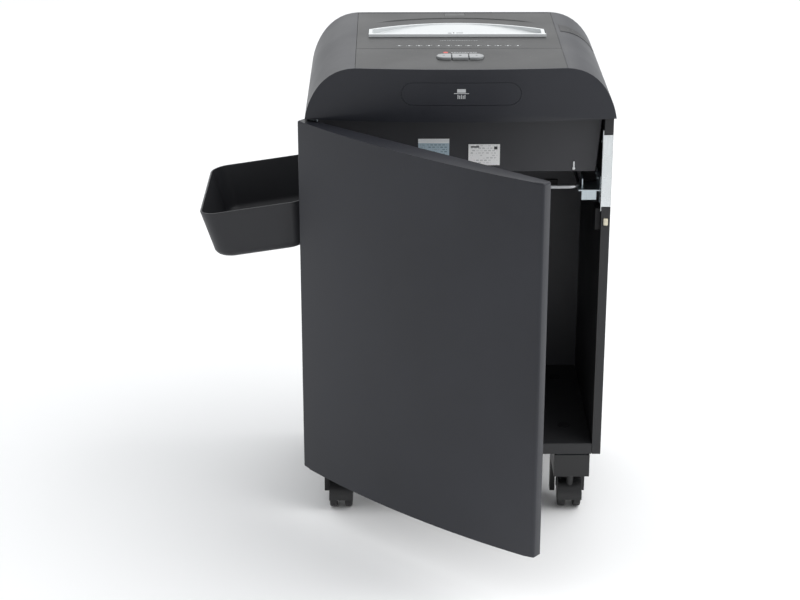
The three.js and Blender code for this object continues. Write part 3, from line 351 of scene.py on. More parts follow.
def laminate(name, tone):
    """Melamine board: pressed pores under a dull, slightly uneven sheen."""
    made = Finish(name, 0.5, specular=0.42)
    surface = made.group("moulded_surface", Grain_Scale=520.0, Mottle_Scale=5.0)
    pores = made.tree.nodes.new("ShaderNodeTexVoronoi")
    pores.inputs["Scale"].default_value = 760.0
    made.tree.links.new(made.vector, pores.inputs["Vector"])
    pits = spread(made.tree, pores.outputs["Distance"], 0.0, 0.35)
    body = made.mix(surface["Mottle"], shade(tone, 0.88), shade(tone, 1.12))
    made.base(made.mix(pits, shade(tone, 0.7), body))
    made.roughen(surface["Mottle"], 0.46, 0.56)
    made.bump(arithmetic(made.tree, "ADD", surface["Height"], pits), 0.25, 0.05 * MM)
    return made.material


def plated(name, tone, roughness, depth=0.02 * MM):
    """Plated or rolled metal, with drawn streaks and cloudy plating."""
    made = Finish(name, roughness, metallic=1.0)
    surface = made.group("drawn_streaks")
    cloudy = made.mix(surface["Blotch"], shade(tone, 0.86), shade(tone, 1.08))
    made.base(made.mix(surface["Streak"], shade(tone, 0.92), cloudy))
    made.roughen(surface["Blotch"], roughness - 0.05, roughness + 0.08)
    made.bump(surface["Height"], 0.3, depth)
    return made.material


def printed(name, tone, ink, row, margin, plane="XZ", header=None):
    """A printed label: paper tone with generic rows of bars, and an optional band of another tone."""
    made = Finish(name, 0.55)
    split = made.tree.nodes.new("ShaderNodeSeparateXYZ")
    made.tree.links.new(made.vector, split.inputs["Vector"])
    lay = made.tree.nodes.new("ShaderNodeCombineXYZ")
    for axis, label in zip(plane, ("X", "Y")):
        made.tree.links.new(split.outputs[axis], lay.inputs[label])
    paper = made.group("moulded_surface", Grain_Scale=900.0, Mottle_Scale=60.0)
    made.vector = lay.outputs["Vector"]
    rows = made.group("printed_rows", Row=row)
    low, high = margin
    across = split.outputs[plane[0]]
    inside = arithmetic(
        made.tree,
        "MULTIPLY",
        arithmetic(made.tree, "GREATER_THAN", across, low),
        arithmetic(made.tree, "LESS_THAN", across, high),
    )
    body = made.mix(paper["Mottle"], shade(tone, 0.96), tone)
    if header is not None:
        band = arithmetic(made.tree, "GREATER_THAN", split.outputs[plane[1]], header)
        body = made.mix(band, body, (0.82, 0.84, 0.85))
        clear = arithmetic(made.tree, "LESS_THAN", split.outputs[plane[1]], header - 1.5 * MM)
        inside = arithmetic(made.tree, "MULTIPLY", inside, clear)
    strength = arithmetic(made.tree, "MULTIPLY", rows["Ink"], inside)
    made.base(made.mix(strength, body, ink))
    made.roughen(paper["Mottle"], 0.5, 0.62)
    made.bump(paper["Height"], 0.1, 0.02 * MM)
    return made.material


def circuit_board(name, tone):
    """Solder mask with darker copper runs and pale pads."""
    made = Finish(name, 0.35)
    cells = made.tree.nodes.new("ShaderNodeTexVoronoi")
    cells.feature = "DISTANCE_TO_EDGE"
    cells.distance = "EUCLIDEAN"
    cells.inputs["Scale"].default_value = 150.0
    made.tree.links.new(made.vector, cells.inputs["Vector"])
    runs = spread(made.tree, cells.outputs["Distance"], 0.05, 0.09)
    pads = spread(made.tree, noise(made.tree, made.vector, 330.0, 1.0), 0.70, 0.72)
    body = made.mix(runs, shade(tone, 1.9), tone)
    made.base(made.mix(pads, body, (0.55, 0.53, 0.48)))
    made.roughen(runs, 0.28, 0.42)
    made.bump(runs, 0.3, 0.03 * MM)
    return made.material


def make_finish(kind):
    name = f"{kind}_finish"
    tone = colours()
    label_lo, label_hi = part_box("rating_label")
    notice_lo, notice_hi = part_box("notice_label")
    edge = 3 * MM
    makers = {
        "shell": lambda: moulded(name, tone.shell, 0.40, specular=0.30),
        "deck": lambda: moulded(name, tone.deck, 0.40, contrast=0.08, dust=0.35, specular=0.31),
        # Painted light: the badge is the shell tone made 5% lighter, to offset the plate shading darker
        # than the front around it.
        "badge": lambda: moulded(
            name, shade(tone.shell, 1.05), 0.40, grain=2200.0, depth=0.02 * MM, dust=0.1, specular=0.30
        ),
        "inlay": lambda: moulded(
            name, shade(tone.inner, 1.2), 0.40, grain=2400.0, depth=0.015 * MM, dust=0.3, specular=0.22
        ),
        "film_print": lambda: moulded(
            name, (0.10, 0.10, 0.098), 0.5, contrast=0.15, dust=0.0, specular=0.25
        ),
        "board": lambda: laminate(name, tone.board),
        # Painted light: the back board is the lining tone made 1.7 times lighter, to lift the dim inside of
        # the cabinet.
        "back_board": lambda: laminate(name, shade(tone.lining, 1.7)),
        "inner": lambda: moulded(name, tone.inner, 0.52, grain=900.0, depth=0.08 * MM, specular=0.35),
        "housing": lambda: moulded(name, tone.lining, 0.5, grain=800.0, depth=0.08 * MM, specular=0.4),
        "tray": lambda: moulded(name, tone.tray, 0.42, grain=1200.0, dust=0.4, specular=0.3),
        "castor": lambda: moulded(name, tone.castor, 0.38, grain=1600.0, dust=0.6),
        "tyre": lambda: moulded(
            name, shade(tone.castor, 1.25), 0.55, grain=700.0, depth=0.1 * MM, dust=0.9
        ),
        "pale": lambda: moulded(
            name, tone.pale, 0.24, grain=2400.0, depth=0.012 * MM, contrast=0.02, dust=0.3
        ),
        "button": lambda: moulded(name, tone.button, 0.34, grain=2000.0, depth=0.02 * MM, contrast=0.04),
        "lamp": lambda: moulded(
            name, tone.lamp, 0.2, grain=2600.0, depth=0.01 * MM, contrast=0.05, coat=0.5
        ),
        "cream": lambda: moulded(name, tone.cream, 0.45, contrast=0.06),
        "nylon": lambda: moulded(name, tone.nylon, 0.42, grain=1000.0, contrast=0.08),
        "dark_print": lambda: moulded(name, (0.03, 0.03, 0.032), 0.5, contrast=0.15, dust=0.0),
        "pale_print": lambda: moulded(name, (0.30, 0.305, 0.31), 0.5, contrast=0.15, dust=0.0),
        "badge_print": lambda: moulded(name, (0.50, 0.51, 0.52), 0.4, contrast=0.08, dust=0.0),
        "dot": lambda: moulded(name, tone.dot, 0.42, contrast=0.12, dust=0.0),
        "zinc": lambda: plated(name, tone.zinc, 0.34),
        "steel": lambda: plated(name, tone.steel, 0.36),
        "bright": lambda: plated(name, tone.bright, 0.27, depth=0.01 * MM),
        "brass": lambda: plated(name, tone.brass, 0.3),
        "circuit": lambda: circuit_board(name, tone.circuit),
        "rating_print": lambda: printed(
            name, tone.label, (0.52, 0.52, 0.53), 3.3 * MM, (label_lo.x + edge, label_hi.x - edge)
        ),
        "notice_print": lambda: printed(
            name,
            tone.pale_blue,
            (0.10, 0.16, 0.20),
            3.1 * MM,
            (notice_lo.x + edge, notice_hi.x - edge),
            header=notice_hi.z - 6 * MM,
        ),
        "deck_print": lambda: printed(
            name, shade(tone.deck, 5.5), (0.05, 0.05, 0.052), 2.4 * MM, (-11 * MM, 11 * MM), plane="XY"
        ),
    }
    return makers[kind]()


def finish(kind):
    """The finish of that kind, made once."""
    return bpy.data.materials.get(f"{kind}_finish") or make_finish(kind)


def body_of(node):
    return frame["nodes"][node]["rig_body"]


def piece(name, bm, look, body, replaces=(), smooth=38, weighted=True):
    """Turns a finished bmesh into an object that rides on a body."""
    mesh = bpy.data.meshes.new(name)
    bm.to_mesh(mesh)
    bm.free()
    made = bpy.data.objects.new(name, mesh)
    bpy.context.scene.collection.objects.link(made)
    for part in (look,) if isinstance(look, str) else look:
        mesh.materials.append(finish(part))
    mesh.shade_smooth()
    mesh.set_sharp_from_angle(angle=math.radians(smooth))
    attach(made, body)
    if replaces:
        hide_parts(*replaces)
    if weighted:
        made.modifiers.new("face_weights", "WEIGHTED_NORMAL").keep_sharp = True
    return made


def modify(made, kind, **settings):
    """Adds a modifier. The one that weights the normals stays last."""
    weights = made.modifiers.get("face_weights")
    if weights:
        made.modifiers.remove(weights)
    new = made.modifiers.new(kind.lower(), kind)
    for name, value in settings.items():
        setattr(new, name, value)
    made.modifiers.new("face_weights", "WEIGHTED_NORMAL").keep_sharp = True


def wall(made, thickness, offset=-1.0, even=True):
    modify(made, "SOLIDIFY", thickness=thickness, offset=offset, use_even_offset=even)


def round_edges(made, radius, segments=2, angle=32):
    limit = math.radians(angle)
    modify(made, "BEVEL", width=radius, segments=segments, limit_method="ANGLE", angle_limit=limit)


def soften(node, name, look, radius, segments=2, angle=32, change=None):
    """A finer copy of a frame node: its flat faces joined up and its edges rounded."""
    bm = bmesh.new()
    bm.from_mesh(frame["nodes"][node].data)
    bmesh.ops.remove_doubles(bm, verts=bm.verts, dist=0.01 * MM)
    bmesh.ops.dissolve_limit(bm, angle_limit=math.radians(0.8), verts=bm.verts, edges=bm.edges)
    if change:
        change(bm)
    made = piece(name, bm, look, body_of(node), (node,))
    round_edges(made, radius, segments, angle)


def soften_all(rows):
    for node, name, look, *rounding in rows:
        soften(node, name, look, *rounding)


def dress(node, look):
    """A frame node that stays as it is, in its own finish."""
    for slot in frame["nodes"][node].material_slots:
        slot.material = finish(look)


def only(kind, geom):
    """The parts of one kind among what an operator returned."""
    return [part for part in geom if isinstance(part, kind)]


def edges_of(verts):
    return {edge for vert in verts for edge in vert.link_edges}


def cuboid(bm, place, x, y, z):
    return bmesh.ops.create_cube(bm, size=1.0, matrix=place @ Matrix.Diagonal((x, y, z, 1)))["verts"]


def cone(bm, place, sides, near, far, depth):
    """A capped cone or low prism along the place's Z."""
    return bmesh.ops.create_cone(
        bm, cap_ends=True, segments=sides, radius1=near, radius2=far, depth=depth, matrix=place
    )["verts"]


def furthest_face(verts, direction):
    faces = {face for vert in verts for face in vert.link_faces}
    return max(faces, key=lambda face: face.calc_center_median().dot(direction))


def block(bm, lo, hi, radius, segments=2):
    """A box between two corners, with rounded edges."""
    lo, hi = Vector(lo), Vector(hi)
    new = cuboid(bm, Matrix.Translation((lo + hi) / 2), *(hi - lo))
    bevel_edges(bm, edges_of(new), radius, segments)


def bevel_edges(bm, edges, radius, segments):
    bmesh.ops.bevel(
        bm,
        geom=list(edges),
        offset=radius,
        offset_type="OFFSET",
        segments=segments,
        profile=0.5,
        affect="EDGES",
        material=-1,
        clamp_overlap=True,
    )


def chain(bm, points, closed=False):
    """Vertices at the points and the edges that join them in order."""
    verts = [bm.verts.new(point) for point in points]
    pairs = list(zip(verts, verts[1:])) + ([(verts[-1], verts[0])] if closed else [])
    return verts, [bm.edges.new(pair) for pair in pairs]


def carried(bm, edges, offset):
    """Extrudes edges by an offset and returns the new edges."""
    new = bmesh.ops.extrude_edge_only(bm, edges=edges)["geom"]
    verts = only(VERT, new)
    bmesh.ops.translate(bm, vec=offset, verts=verts)
    far = set(verts)
    return [edge for edge in only(EDGE, new) if far.issuperset(edge.verts)]


def lathe(bm, outline, centre, steps):
    """Turns an outline of (x, distance from the axis) about the line along X through the centre."""
    verts, edges = chain(bm, [(x, centre.y, centre.z + out) for x, out in outline])
    cent = (0, centre.y, centre.z)
    bmesh.ops.spin(
        bm, geom=verts + edges, cent=cent, axis=RIGHT, angle=math.tau, steps=steps, use_merge=True
    )


def fill(bm, edges):
    """A flat skin over a loop, with the loops inside it left open."""
    return bmesh.ops.triangle_fill(bm, edges=list(edges), use_beauty=True, use_dissolve=False)


def outward(bm):
    bmesh.ops.remove_doubles(bm, verts=bm.verts, dist=0.02 * MM)
    bmesh.ops.recalc_face_normals(bm, faces=bm.faces)


def flip_if(bm, direction):
    """Turns the whole skin over if its outermost face along the direction is inside out."""
    bm.normal_update()
    facing = [face for face in bm.faces if abs(face.normal.dot(direction)) > 0.7]
    most = max(facing, key=lambda face: face.calc_center_median().dot(direction))
    if most.normal.dot(direction) < 0:
        bmesh.ops.reverse_faces(bm, faces=bm.faces)


def stadium(centre, width, height, steps=9):
    """Corner points of a pill outline in the plane of its two numbers."""
    radius = height / 2
    reach = width / 2 - radius
    points = []
    for side, start in ((1, -90), (-1, 90)):
        for step in range(steps + 1):
            angle = math.radians(start + 180 * step / steps)
            x = centre[0] + side * reach + radius * math.cos(angle)
            points.append((x, centre[1] + radius * math.sin(angle)))
    return points


def rectangle(centre, width, height):
    (x, y), w, h = centre, width / 2, height / 2
    return [(x - w, y - h), (x + w, y - h), (x + w, y + h), (x - w, y + h)]


def bow(x, half):
    """How far a bowed front stands out at x, from nothing at its two ends."""
    deep = sizes().front_bow
    radius = (half * half + deep * deep) / (2 * deep)
    return math.sqrt(radius * radius - x * x) - (radius - deep)


def cut_plane(bm, point, normal, reach):
    everything = bm.verts[:] + bm.edges[:] + bm.faces[:]
    bmesh.ops.bisect_plane(bm, geom=everything, dist=reach, plane_co=point, plane_no=normal)


def slice_columns(bm, places):
    for x in places:
        cut_plane(bm, (x, 0, 0), RIGHT, 0.25 * MM)


def screw(bm, centre, axis, radius):
    """A pan-head screw with a driver recess, its head standing along the axis."""
    turn = UP.rotation_difference(axis).to_matrix().to_4x4()
    spin = Matrix.Rotation(random.uniform(0, math.pi), 4, "Z")
    place = Matrix.Translation(centre) @ turn @ spin @ Matrix.Translation((0, 0, radius * 0.275))
    head = cone(bm, place, 20, radius, radius * 0.72, radius * 0.55)
    top = [furthest_face(head, axis)]
    for thick, deep in ((radius * 0.34, 0.0), (radius * 0.05, -radius * 0.3)):
        bmesh.ops.inset_region(bm, faces=top, thickness=thick, depth=deep, use_even_offset=True)


def flat_top():
    """Level of the head's flat top."""
    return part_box("rear_deck")[1].z


def middle(node):
    lo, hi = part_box(node)
    return (lo + hi) / 2


def front_view(node, spare=0.0):
    """Centre, width and height of a node seen from the front, both grown by the spare."""
    lo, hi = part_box(node)
    return ((lo.x + hi.x) / 2, (lo.z + hi.z) / 2), hi.x - lo.x + spare, hi.z - lo.z + spare


# ---------------------------------------------------------------- head
def head_half():
    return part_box("head_cover")[1].x


def deck_half():
    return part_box("control_strip")[1].x - 5 * MM


def shoulder(steps=14):
    """The right shoulder, from the head's foot up to its flat top, as (x, z)."""
    lo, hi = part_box("head_cover")
    width = sizes().shoulder_width
    knots = [
        Vector((hi.x, 0, lo.z)),
        Vector((hi.x - 4 * MM, 0, lo.z + 26 * MM)),
        Vector((hi.x - 22 * MM, 0, hi.z - 1.5 * MM)),
        Vector((hi.x - width, 0, hi.z)),
    ]
    return [(point.x, point.z) for point in interpolate_bezier(*knots, steps)]


def head_outline():
    """Right foot, over the top, to the left foot. Returns the points and the columns to slice at."""
    right = shoulder()
    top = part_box("head_cover")[1].z
    reach = deck_half()
    count = 18
    flat = [(reach - 2 * reach * step / count, top) for step in range(count + 1)]
    right = [point for point in right if point[0] > reach + 2 * MM]
    left = [(-x, z) for x, z in reversed(right)]
    columns = [x for x, z in [*right, *flat, *left] if abs(x) < head_half() - 2 * MM]
    return right + flat + left, columns


def head_front():
    """Where the head's front corners are."""
    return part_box("head_cover")[0].y + sizes().front_bow


class SHREDDER_OT_head_cover(bpy.types.Operator):
    """Builds the moulded head cover with its bowed front, rolled edges and badge recess"""

    bl_idname = "shredder.head_cover"
    bl_label = "Head cover"
    recess_depth = 1.9 * MM

    def execute(self, context):
        size = sizes()
        lo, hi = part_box("head_cover")
        front = head_front()
        margin = size.front_roll + 0.3 * MM
        outline, columns = head_outline()
        bm = bmesh.new()
        verts, rim = chain(bm, [(x, front, z) for x, z in outline])
        far_rim = carried(bm, rim, (0, hi.y - front, 0))

        badge_lo, badge_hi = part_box("badge_plate")
        badge = stadium(*front_view("badge_plate", 0.8 * MM))
        _, recess = chain(bm, [(x, front, z) for x, z in badge], closed=True)
        fill(bm, carried(bm, recess, (0, self.recess_depth, 0)))
        fill(bm, [*rim, *recess, bm.edges.new((verts[0], verts[-1]))])

        openings = []
        for node, lip in (("power_inlet", 7 * MM), ("switch_frame", 4 * MM)):
            centre, wide, tall = front_view(node)
            hole = rectangle(centre, wide - lip, tall - lip * 0.6)
            openings += chain(bm, [(x, hi.y, z) for x, z in hole], closed=True)[1]
        ends = [vert for edge in far_rim for vert in edge.verts if abs(vert.co.z - lo.z) < 0.1 * MM]
        fill(bm, [*far_rim, *openings, bm.edges.new(ends)])

        slice_columns(bm, columns)
        well_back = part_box("rear_deck")[1].y + size.seam
        for y in (front + margin, well_back):
            cut_plane(bm, (0, y, 0), BACK, 0.05 * MM)

        def over_the_well(face):
            at = face.calc_center_median()
            level = at.z > hi.z - 0.2 * MM and abs(face.normal.z) > 0.9
            return level and abs(at.x) < deck_half() and front + margin < at.y < well_back

        well = [face for face in bm.faces if over_the_well(face)]
        bmesh.ops.delete(bm, geom=well, context="FACES")

        def lies(part, y):
            return all(abs(vert.co.y - y) < 0.02 * MM for vert in part.verts)

        def rims(y):
            """Edges where the flat skin at y meets the rest."""
            level = [edge for edge in bm.edges if lies(edge, y) and len(edge.link_faces) == 2]
            return [edge for edge in level if sum(lies(face, y) for face in edge.link_faces) == 1]

        def round_the_badge(edge):
            first, second = (vert.co for vert in edge.verts)
            near = abs((first.x + second.x) / 2) < badge_hi.x + MM
            return near and badge_lo.z - MM < first.z < badge_hi.z + MM

        outer = [edge for edge in rims(front) if not round_the_badge(edge)]
        rear = rims(hi.y)
        for vert in bm.verts:
            if vert.co.y < front + margin + 0.1 * MM:
                vert.co.y -= bow(max(-head_half(), min(head_half(), vert.co.x)), head_half())
        bevel_edges(bm, outer, size.front_roll, 5)
        bevel_edges(bm, [edge for edge in rear if edge.is_valid], size.rear_roll, 4)
        outward(bm)
        flip_if(bm, -BACK)
        made = piece("head_shell", bm, "shell", "cabinet", ("head_cover",), smooth=30)
        wall(made, size.cover_wall, even=False)
        return {"FINISHED"}


class SHREDDER_OT_badge(bpy.types.Operator):
    """Builds the badge plate with its sheet-and-strips mark, and the film on the right shoulder"""

    bl_idname = "shredder.badge"
    bl_label = "Badge and shoulder film"

    def execute(self, context):
        self.plate()
        self.mark()
        self.film()
        return {"FINISHED"}

    def plate(self):
        front = head_front()
        outline = stadium(*front_view("badge_plate"), 14)
        bm = bmesh.new()
        _, rim = chain(bm, [(x, front, z) for x, z in outline], closed=True)
        fill(bm, rim)
        slice_columns(bm, [head_half() * step / 26 for step in range(-9, 10)])
        new = bmesh.ops.extrude_face_region(bm, geom=bm.faces[:])["geom"]
        bmesh.ops.translate(bm, vec=(0, 1.4 * MM, 0), verts=only(VERT, new))
        for vert in bm.verts:
            vert.co.y -= bow(vert.co.x, head_half()) - 0.25 * MM
        outward(bm)
        made = piece("badge_face", bm, "badge", "cabinet", ("badge_plate",), smooth=30)
        round_edges(made, 0.4 * MM, 2, 50)

    def mark(self):
        """A generic pictogram: a sheet above a line, with strips hanging below it."""
        level = middle("badge_plate").z
        bm = bmesh.new()
        sheet, line = (0, 4.4, 11, 4.6), (0, 0.9, 19, 0.9)
        strips = [(-4.4 + 2.2 * i, -3.4 - 0.5 * (i % 2), 1.1, 5.4 - (i % 2)) for i in range(5)]
        for shape in (sheet, line, *strips):
            x, rise, width, tall = (number * MM for number in shape)
            z = level + rise
            block(bm, (x - width / 2, 0, z - tall / 2), (x + width / 2, 0.2 * MM, z + tall / 2), 0.06 * MM)
        for vert in bm.verts:
            vert.co.y += head_front() - bow(vert.co.x, head_half()) + 0.1 * MM
        piece("badge_mark", bm, "badge_print", "cabinet")

    def film(self):
        lo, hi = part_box("side_inlay")
        bm = bmesh.new()
        curve = [(x, z) for x, z in shoulder(60) if lo.x <= x <= hi.x]
        _, edges = chain(bm, [(x, lo.y, z) for x, z in curve])
        steps = 6
        for _ in range(steps):
            edges = carried(bm, edges, (0, (hi.y - lo.y) / steps, 0))
        middle_y = middle("side_inlay").y
        for vert in bm.verts:
            share = (vert.co.x - lo.x) / (hi.x - lo.x)
            narrowed = (vert.co.y - middle_y) * (0.86 - 0.42 * share)
            vert.co.y = middle_y + narrowed + 14 * MM * share * share - 2 * MM
        bmesh.ops.recalc_face_normals(bm, faces=bm.faces)
        flip_if(bm, UP)
        made = piece("shoulder_film", bm, "inlay", "cabinet", ("side_inlay",))
        wall(made, 0.35 * MM, 1.0)
        marks = bmesh.new()
        for step, index in enumerate(range(len(curve) // 3, len(curve) - 4, 4)):
            x, z = curve[index]
            y = middle_y - 3 * MM + 5 * MM * (step % 2)
            ahead = Vector((curve[index + 1][0] - x, 0, curve[index + 1][1] - z)).normalized()
            turn = RIGHT.rotation_difference(ahead).to_matrix().to_4x4()
            flat = cuboid(marks, Matrix.Translation((x, y, z)) @ turn, 1.6 * MM, 6 * MM, 0.8 * MM)
            bevel_edges(marks, edges_of(flat), 0.2 * MM, 1)
        piece("shoulder_marks", marks, "film_print", "cabinet")


class SHREDDER_OT_deck(bpy.types.Operator):
    """Builds the two deck panels, the raised rim behind the feed insert, and the deck label"""

    bl_idname = "shredder.deck"
    bl_label = "Deck panels"

    def execute(self, context):
        self.rear_panel()
        self.front_panel()
        self.ridge()
        dress("deck_label", "deck_print")
        return {"FINISHED"}

    def panel(self, name, node, loops):
        bm = bmesh.new()
        top = flat_top()
        edges = []
        for points in loops:
            edges += chain(bm, [(x, y, top) for x, y in points], closed=True)[1]
        fill(bm, edges)
        outward(bm)
        flip_if(bm, UP)
        made = piece(name, bm, "deck", "cabinet", (node,))
        wall(made, 3 * MM)
        round_edges(made, 0.35 * MM, 2, 50)

    def rear_panel(self):
        lo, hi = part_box("rear_deck")
        half = deck_half() - sizes().seam
        outer = rectangle((0, (lo.y + hi.y) / 2), 2 * half, hi.y - lo.y)
        lamps = [rectangle((x, light_row()), 3.8 * MM, 2.8 * MM) for x in light_places()]
        label_lo, label_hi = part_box("deck_label")
        spare = 0.6 * MM
        wide, deep, _ = label_hi - label_lo
        label = rectangle(middle("deck_label").xy, wide + spare, deep + spare)
        self.panel("rear_deck_panel", "rear_deck", [outer, throat_outline(0.35 * MM), *lamps, label])

    def front_panel(self):
        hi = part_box("control_strip")[1]
        half = deck_half() - sizes().seam
        front = head_front() + sizes().front_roll + 0.45 * MM
        count = 24
        edge = [(-half + 2 * half * step / count) for step in range(count + 1)]
        outline = [(x, front - bow(x, head_half())) for x in edge] + [(half, hi.y), (-half, hi.y)]
        lo_button, hi_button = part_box("button_reverse")[0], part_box("button_forward")[1]
        centre = ((lo_button.x + hi_button.x) / 2, (lo_button.y + hi_button.y) / 2)
        pill = stadium(centre, hi_button.x - lo_button.x + 1.2 * MM, hi_button.y - lo_button.y + 1.2 * MM)
        self.panel("control_panel", "control_strip", [outline, pill])

    def ridge(self):
        """A low ridge that follows the insert's back arc, spun about the arc's centre."""
        radius, centre_y, _ = throat_arc()
        ridge = radius + 27.5 * MM
        foot = flat_top() - 0.05 * MM
        half, fade = 110 * MM, 22 * MM
        section = [(-3.2, 0), (-2.2, 0.55), (-0.8, 0.95), (0.8, 0.95), (2.0, 0.5), (2.8, 0)]
        bm = bmesh.new()
        reach = math.asin(half / ridge)
        points = [(0, centre_y + ridge + out * MM, foot + rise * MM) for out, rise in section]
        verts, edges = chain(bm, points)
        pivot = (0, centre_y, flat_top())
        bmesh.ops.rotate(bm, cent=pivot, matrix=Matrix.Rotation(reach, 3, "Z"), verts=verts)
        bmesh.ops.spin(bm, geom=verts + edges, cent=pivot, axis=-UP, angle=2 * reach, steps=40)
        for vert in bm.verts:
            share = min(1.0, (half - abs(vert.co.x)) / fade + 0.05)
            vert.co.z = foot + (vert.co.z - foot) * max(0.0, share)
        bmesh.ops.recalc_face_normals(bm, faces=bm.faces)
        flip_if(bm, UP)
        piece("deck_rim", bm, "deck", "cabinet")


def throat_arc():
    """Radius, centre and half width of the insert's back arc."""
    lo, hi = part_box("throat_insert")
    flange, rise = 3 * MM, 35 * MM
    half = hi.x - flange
    radius = (half * half + rise * rise) / (2 * rise)
    return radius, hi.y - flange - radius, (half, lo.y + flange)


def throat_outline(grow, steps=28):
    """Plan of the insert: straight front, short ends and an arc at the back."""
    radius, centre_y, (half, front) = throat_arc()
    swing = math.asin((half + grow) / (radius + grow))
    points = [(-half - grow, front - grow), (half + grow, front - grow)]
    for step in range(steps + 1):
        angle = math.pi / 2 - swing + 2 * swing * step / steps
        points.append(((radius + grow) * math.cos(angle), centre_y + (radius + grow) * math.sin(angle)))
    return points


def light_row():
    return middle("indicator_light_guide").y


def light_places():
    lo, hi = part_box("indicator_light_guide")
    span = hi.x - lo.x - 10 * MM
    return [-span / 2 + span * step / 12 for step in range(13)]


class SHREDDER_OT_throat(bpy.types.Operator):
    """Builds the glossy feed insert and the chute below it"""

    bl_idname = "shredder.throat"
    bl_label = "Feed insert"
    slots = ((4.5 * MM, 10.5 * MM), (30.5 * MM, 36.5 * MM))
    slot_half = 113 * MM

    def execute(self, context):
        # The insert's slot walls take the black finish as painted shade.
        soften("throat_insert", "feed_insert", ("pale", "inner"), 0.6 * MM, 3, change=self.paint_slot_shade)
        soften("feed_chute", "chute_walls", "inner", 0.4 * MM)
        self.marks()
        return {"FINISHED"}

    def paint_slot_shade(self, bm):
        """Gives the upright walls inside the paper slot and the disc slot the black finish: painted shade,
        standing in for the shade deep inside the narrow slots.
        """
        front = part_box("throat_insert")[0].y + 3 * MM
        reach = 0.1 * MM
        top = flat_top() + reach
        bm.normal_update()
        for face in bm.faces:
            y = face.calc_center_median().y - front
            in_slot = any(near - reach < y < far + reach for near, far in self.slots)
            level = max(vert.co.z for vert in face.verts)
            inside = all(abs(vert.co.x) < self.slot_half for vert in face.verts)
            if in_slot and inside and level < top and abs(face.normal.z) < 0.3:
                face.material_index = 1

    def marks(self):
        """Generic printed marks behind the disc slot, laid on the insert's slope."""
        slope_front, slope_back, fall = 11 * MM, 78 * MM, 13 * MM
        slope = math.atan2(fall, slope_back - slope_front)
        low = flat_top() - fall
        bm = bmesh.new()
        for shape in ((-9, 44, 4.5, 4.5), (-3.5, 44, 1.2, 7), (4.5, 42, 9, 1.1), (4.5, 46, 9, 1.1)):
            x, y, width, deep = (number * MM for number in shape)
            at = (x, y, low + (y - slope_front) * math.tan(slope))
            cuboid(bm, Matrix.Translation(at) @ Matrix.Rotation(slope, 4, "X"), width, deep, 0.2 * MM)
        piece("insert_marks", bm, "dark_print", "cabinet")


class SHREDDER_OT_controls(bpy.types.Operator):
    """Builds the three buttons, their marks, the indicator windows and the printed symbols"""

    bl_idname = "shredder.controls"
    bl_label = "Controls"

    def execute(self, context):
        for way in ("reverse", "auto", "forward"):
            soften(f"button_{way}", f"{way}_key", "button", 1.1 * MM, 4, 40)
        self.key_marks()
        soften("indicator_light_guide", "indicator_windows", "lamp", 0.25 * MM)
        self.symbols()
        self.print_line()
        return {"FINISHED"}

    def key_marks(self):
        for way, sides, turn in (("reverse", 3, 90), ("auto", 18, 0), ("forward", 3, -90)):
            node = f"button_{way}"
            at = middle(node)
            at.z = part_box(node)[1].z + 0.02 * MM
            bm = bmesh.new()
            place = Matrix.Translation(at) @ Matrix.Rotation(math.radians(turn), 4, "Z")
            cone(bm, place, sides, 1.9 * MM, 1.8 * MM, 0.12 * MM)
            piece(f"mark_{way}", bm, "dark_print", body_of(node))

    def symbols(self):
        """Small generic signs round the indicator windows: bars, rings and arrowheads."""
        bm = bmesh.new()
        for index, x in enumerate(light_places()):
            sides = (0, 3, 12, 4)[index % 4]
            for side in (-1, 1):
                place = Matrix.Translation((x + side * 3.4 * MM, light_row(), flat_top() + 0.03 * MM))
                if sides:
                    place @= Matrix.Rotation(side * math.pi / 2, 4, "Z")
                    cone(bm, place, sides, 1.15 * MM, 1.1 * MM, 0.12 * MM)
                else:
                    cuboid(bm, place, 1.9 * MM, 0.7 * MM, 0.12 * MM)
        piece("indicator_symbols", bm, "pale_print", "cabinet")

    def print_line(self):
        """Two lines of bars of uneven lengths, and a round coloured dot before the second."""
        bm = bmesh.new()

        def bars(x, end, y, tall, widths, gap):
            foot = flat_top() - 0.05 * MM
            while x < end:
                width = random.uniform(*widths) * MM
                block(bm, (x, y, foot), (x + width, y + tall, foot + 0.12 * MM), 0.03 * MM, 1)
                x += width + gap() * MM

        bars(-24 * MM, 24 * MM, -21.4 * MM, 1.6 * MM, (1.2, 3.6), lambda: random.choice((0.7, 0.7, 1.4)))
        bars(-11 * MM, 21 * MM, -84.6 * MM, 3 * MM, (1.6, 3.4), lambda: 0.8)
        piece("deck_print_line", bm, "pale_print", "cabinet")
        dot = bmesh.new()
        place = Matrix.Translation((-18 * MM, -83 * MM, flat_top() + 0.03 * MM))
        cone(dot, place, 28, 3.4 * MM, 3.3 * MM, 0.14 * MM)
        piece("deck_dot", dot, "dot", "cabinet")


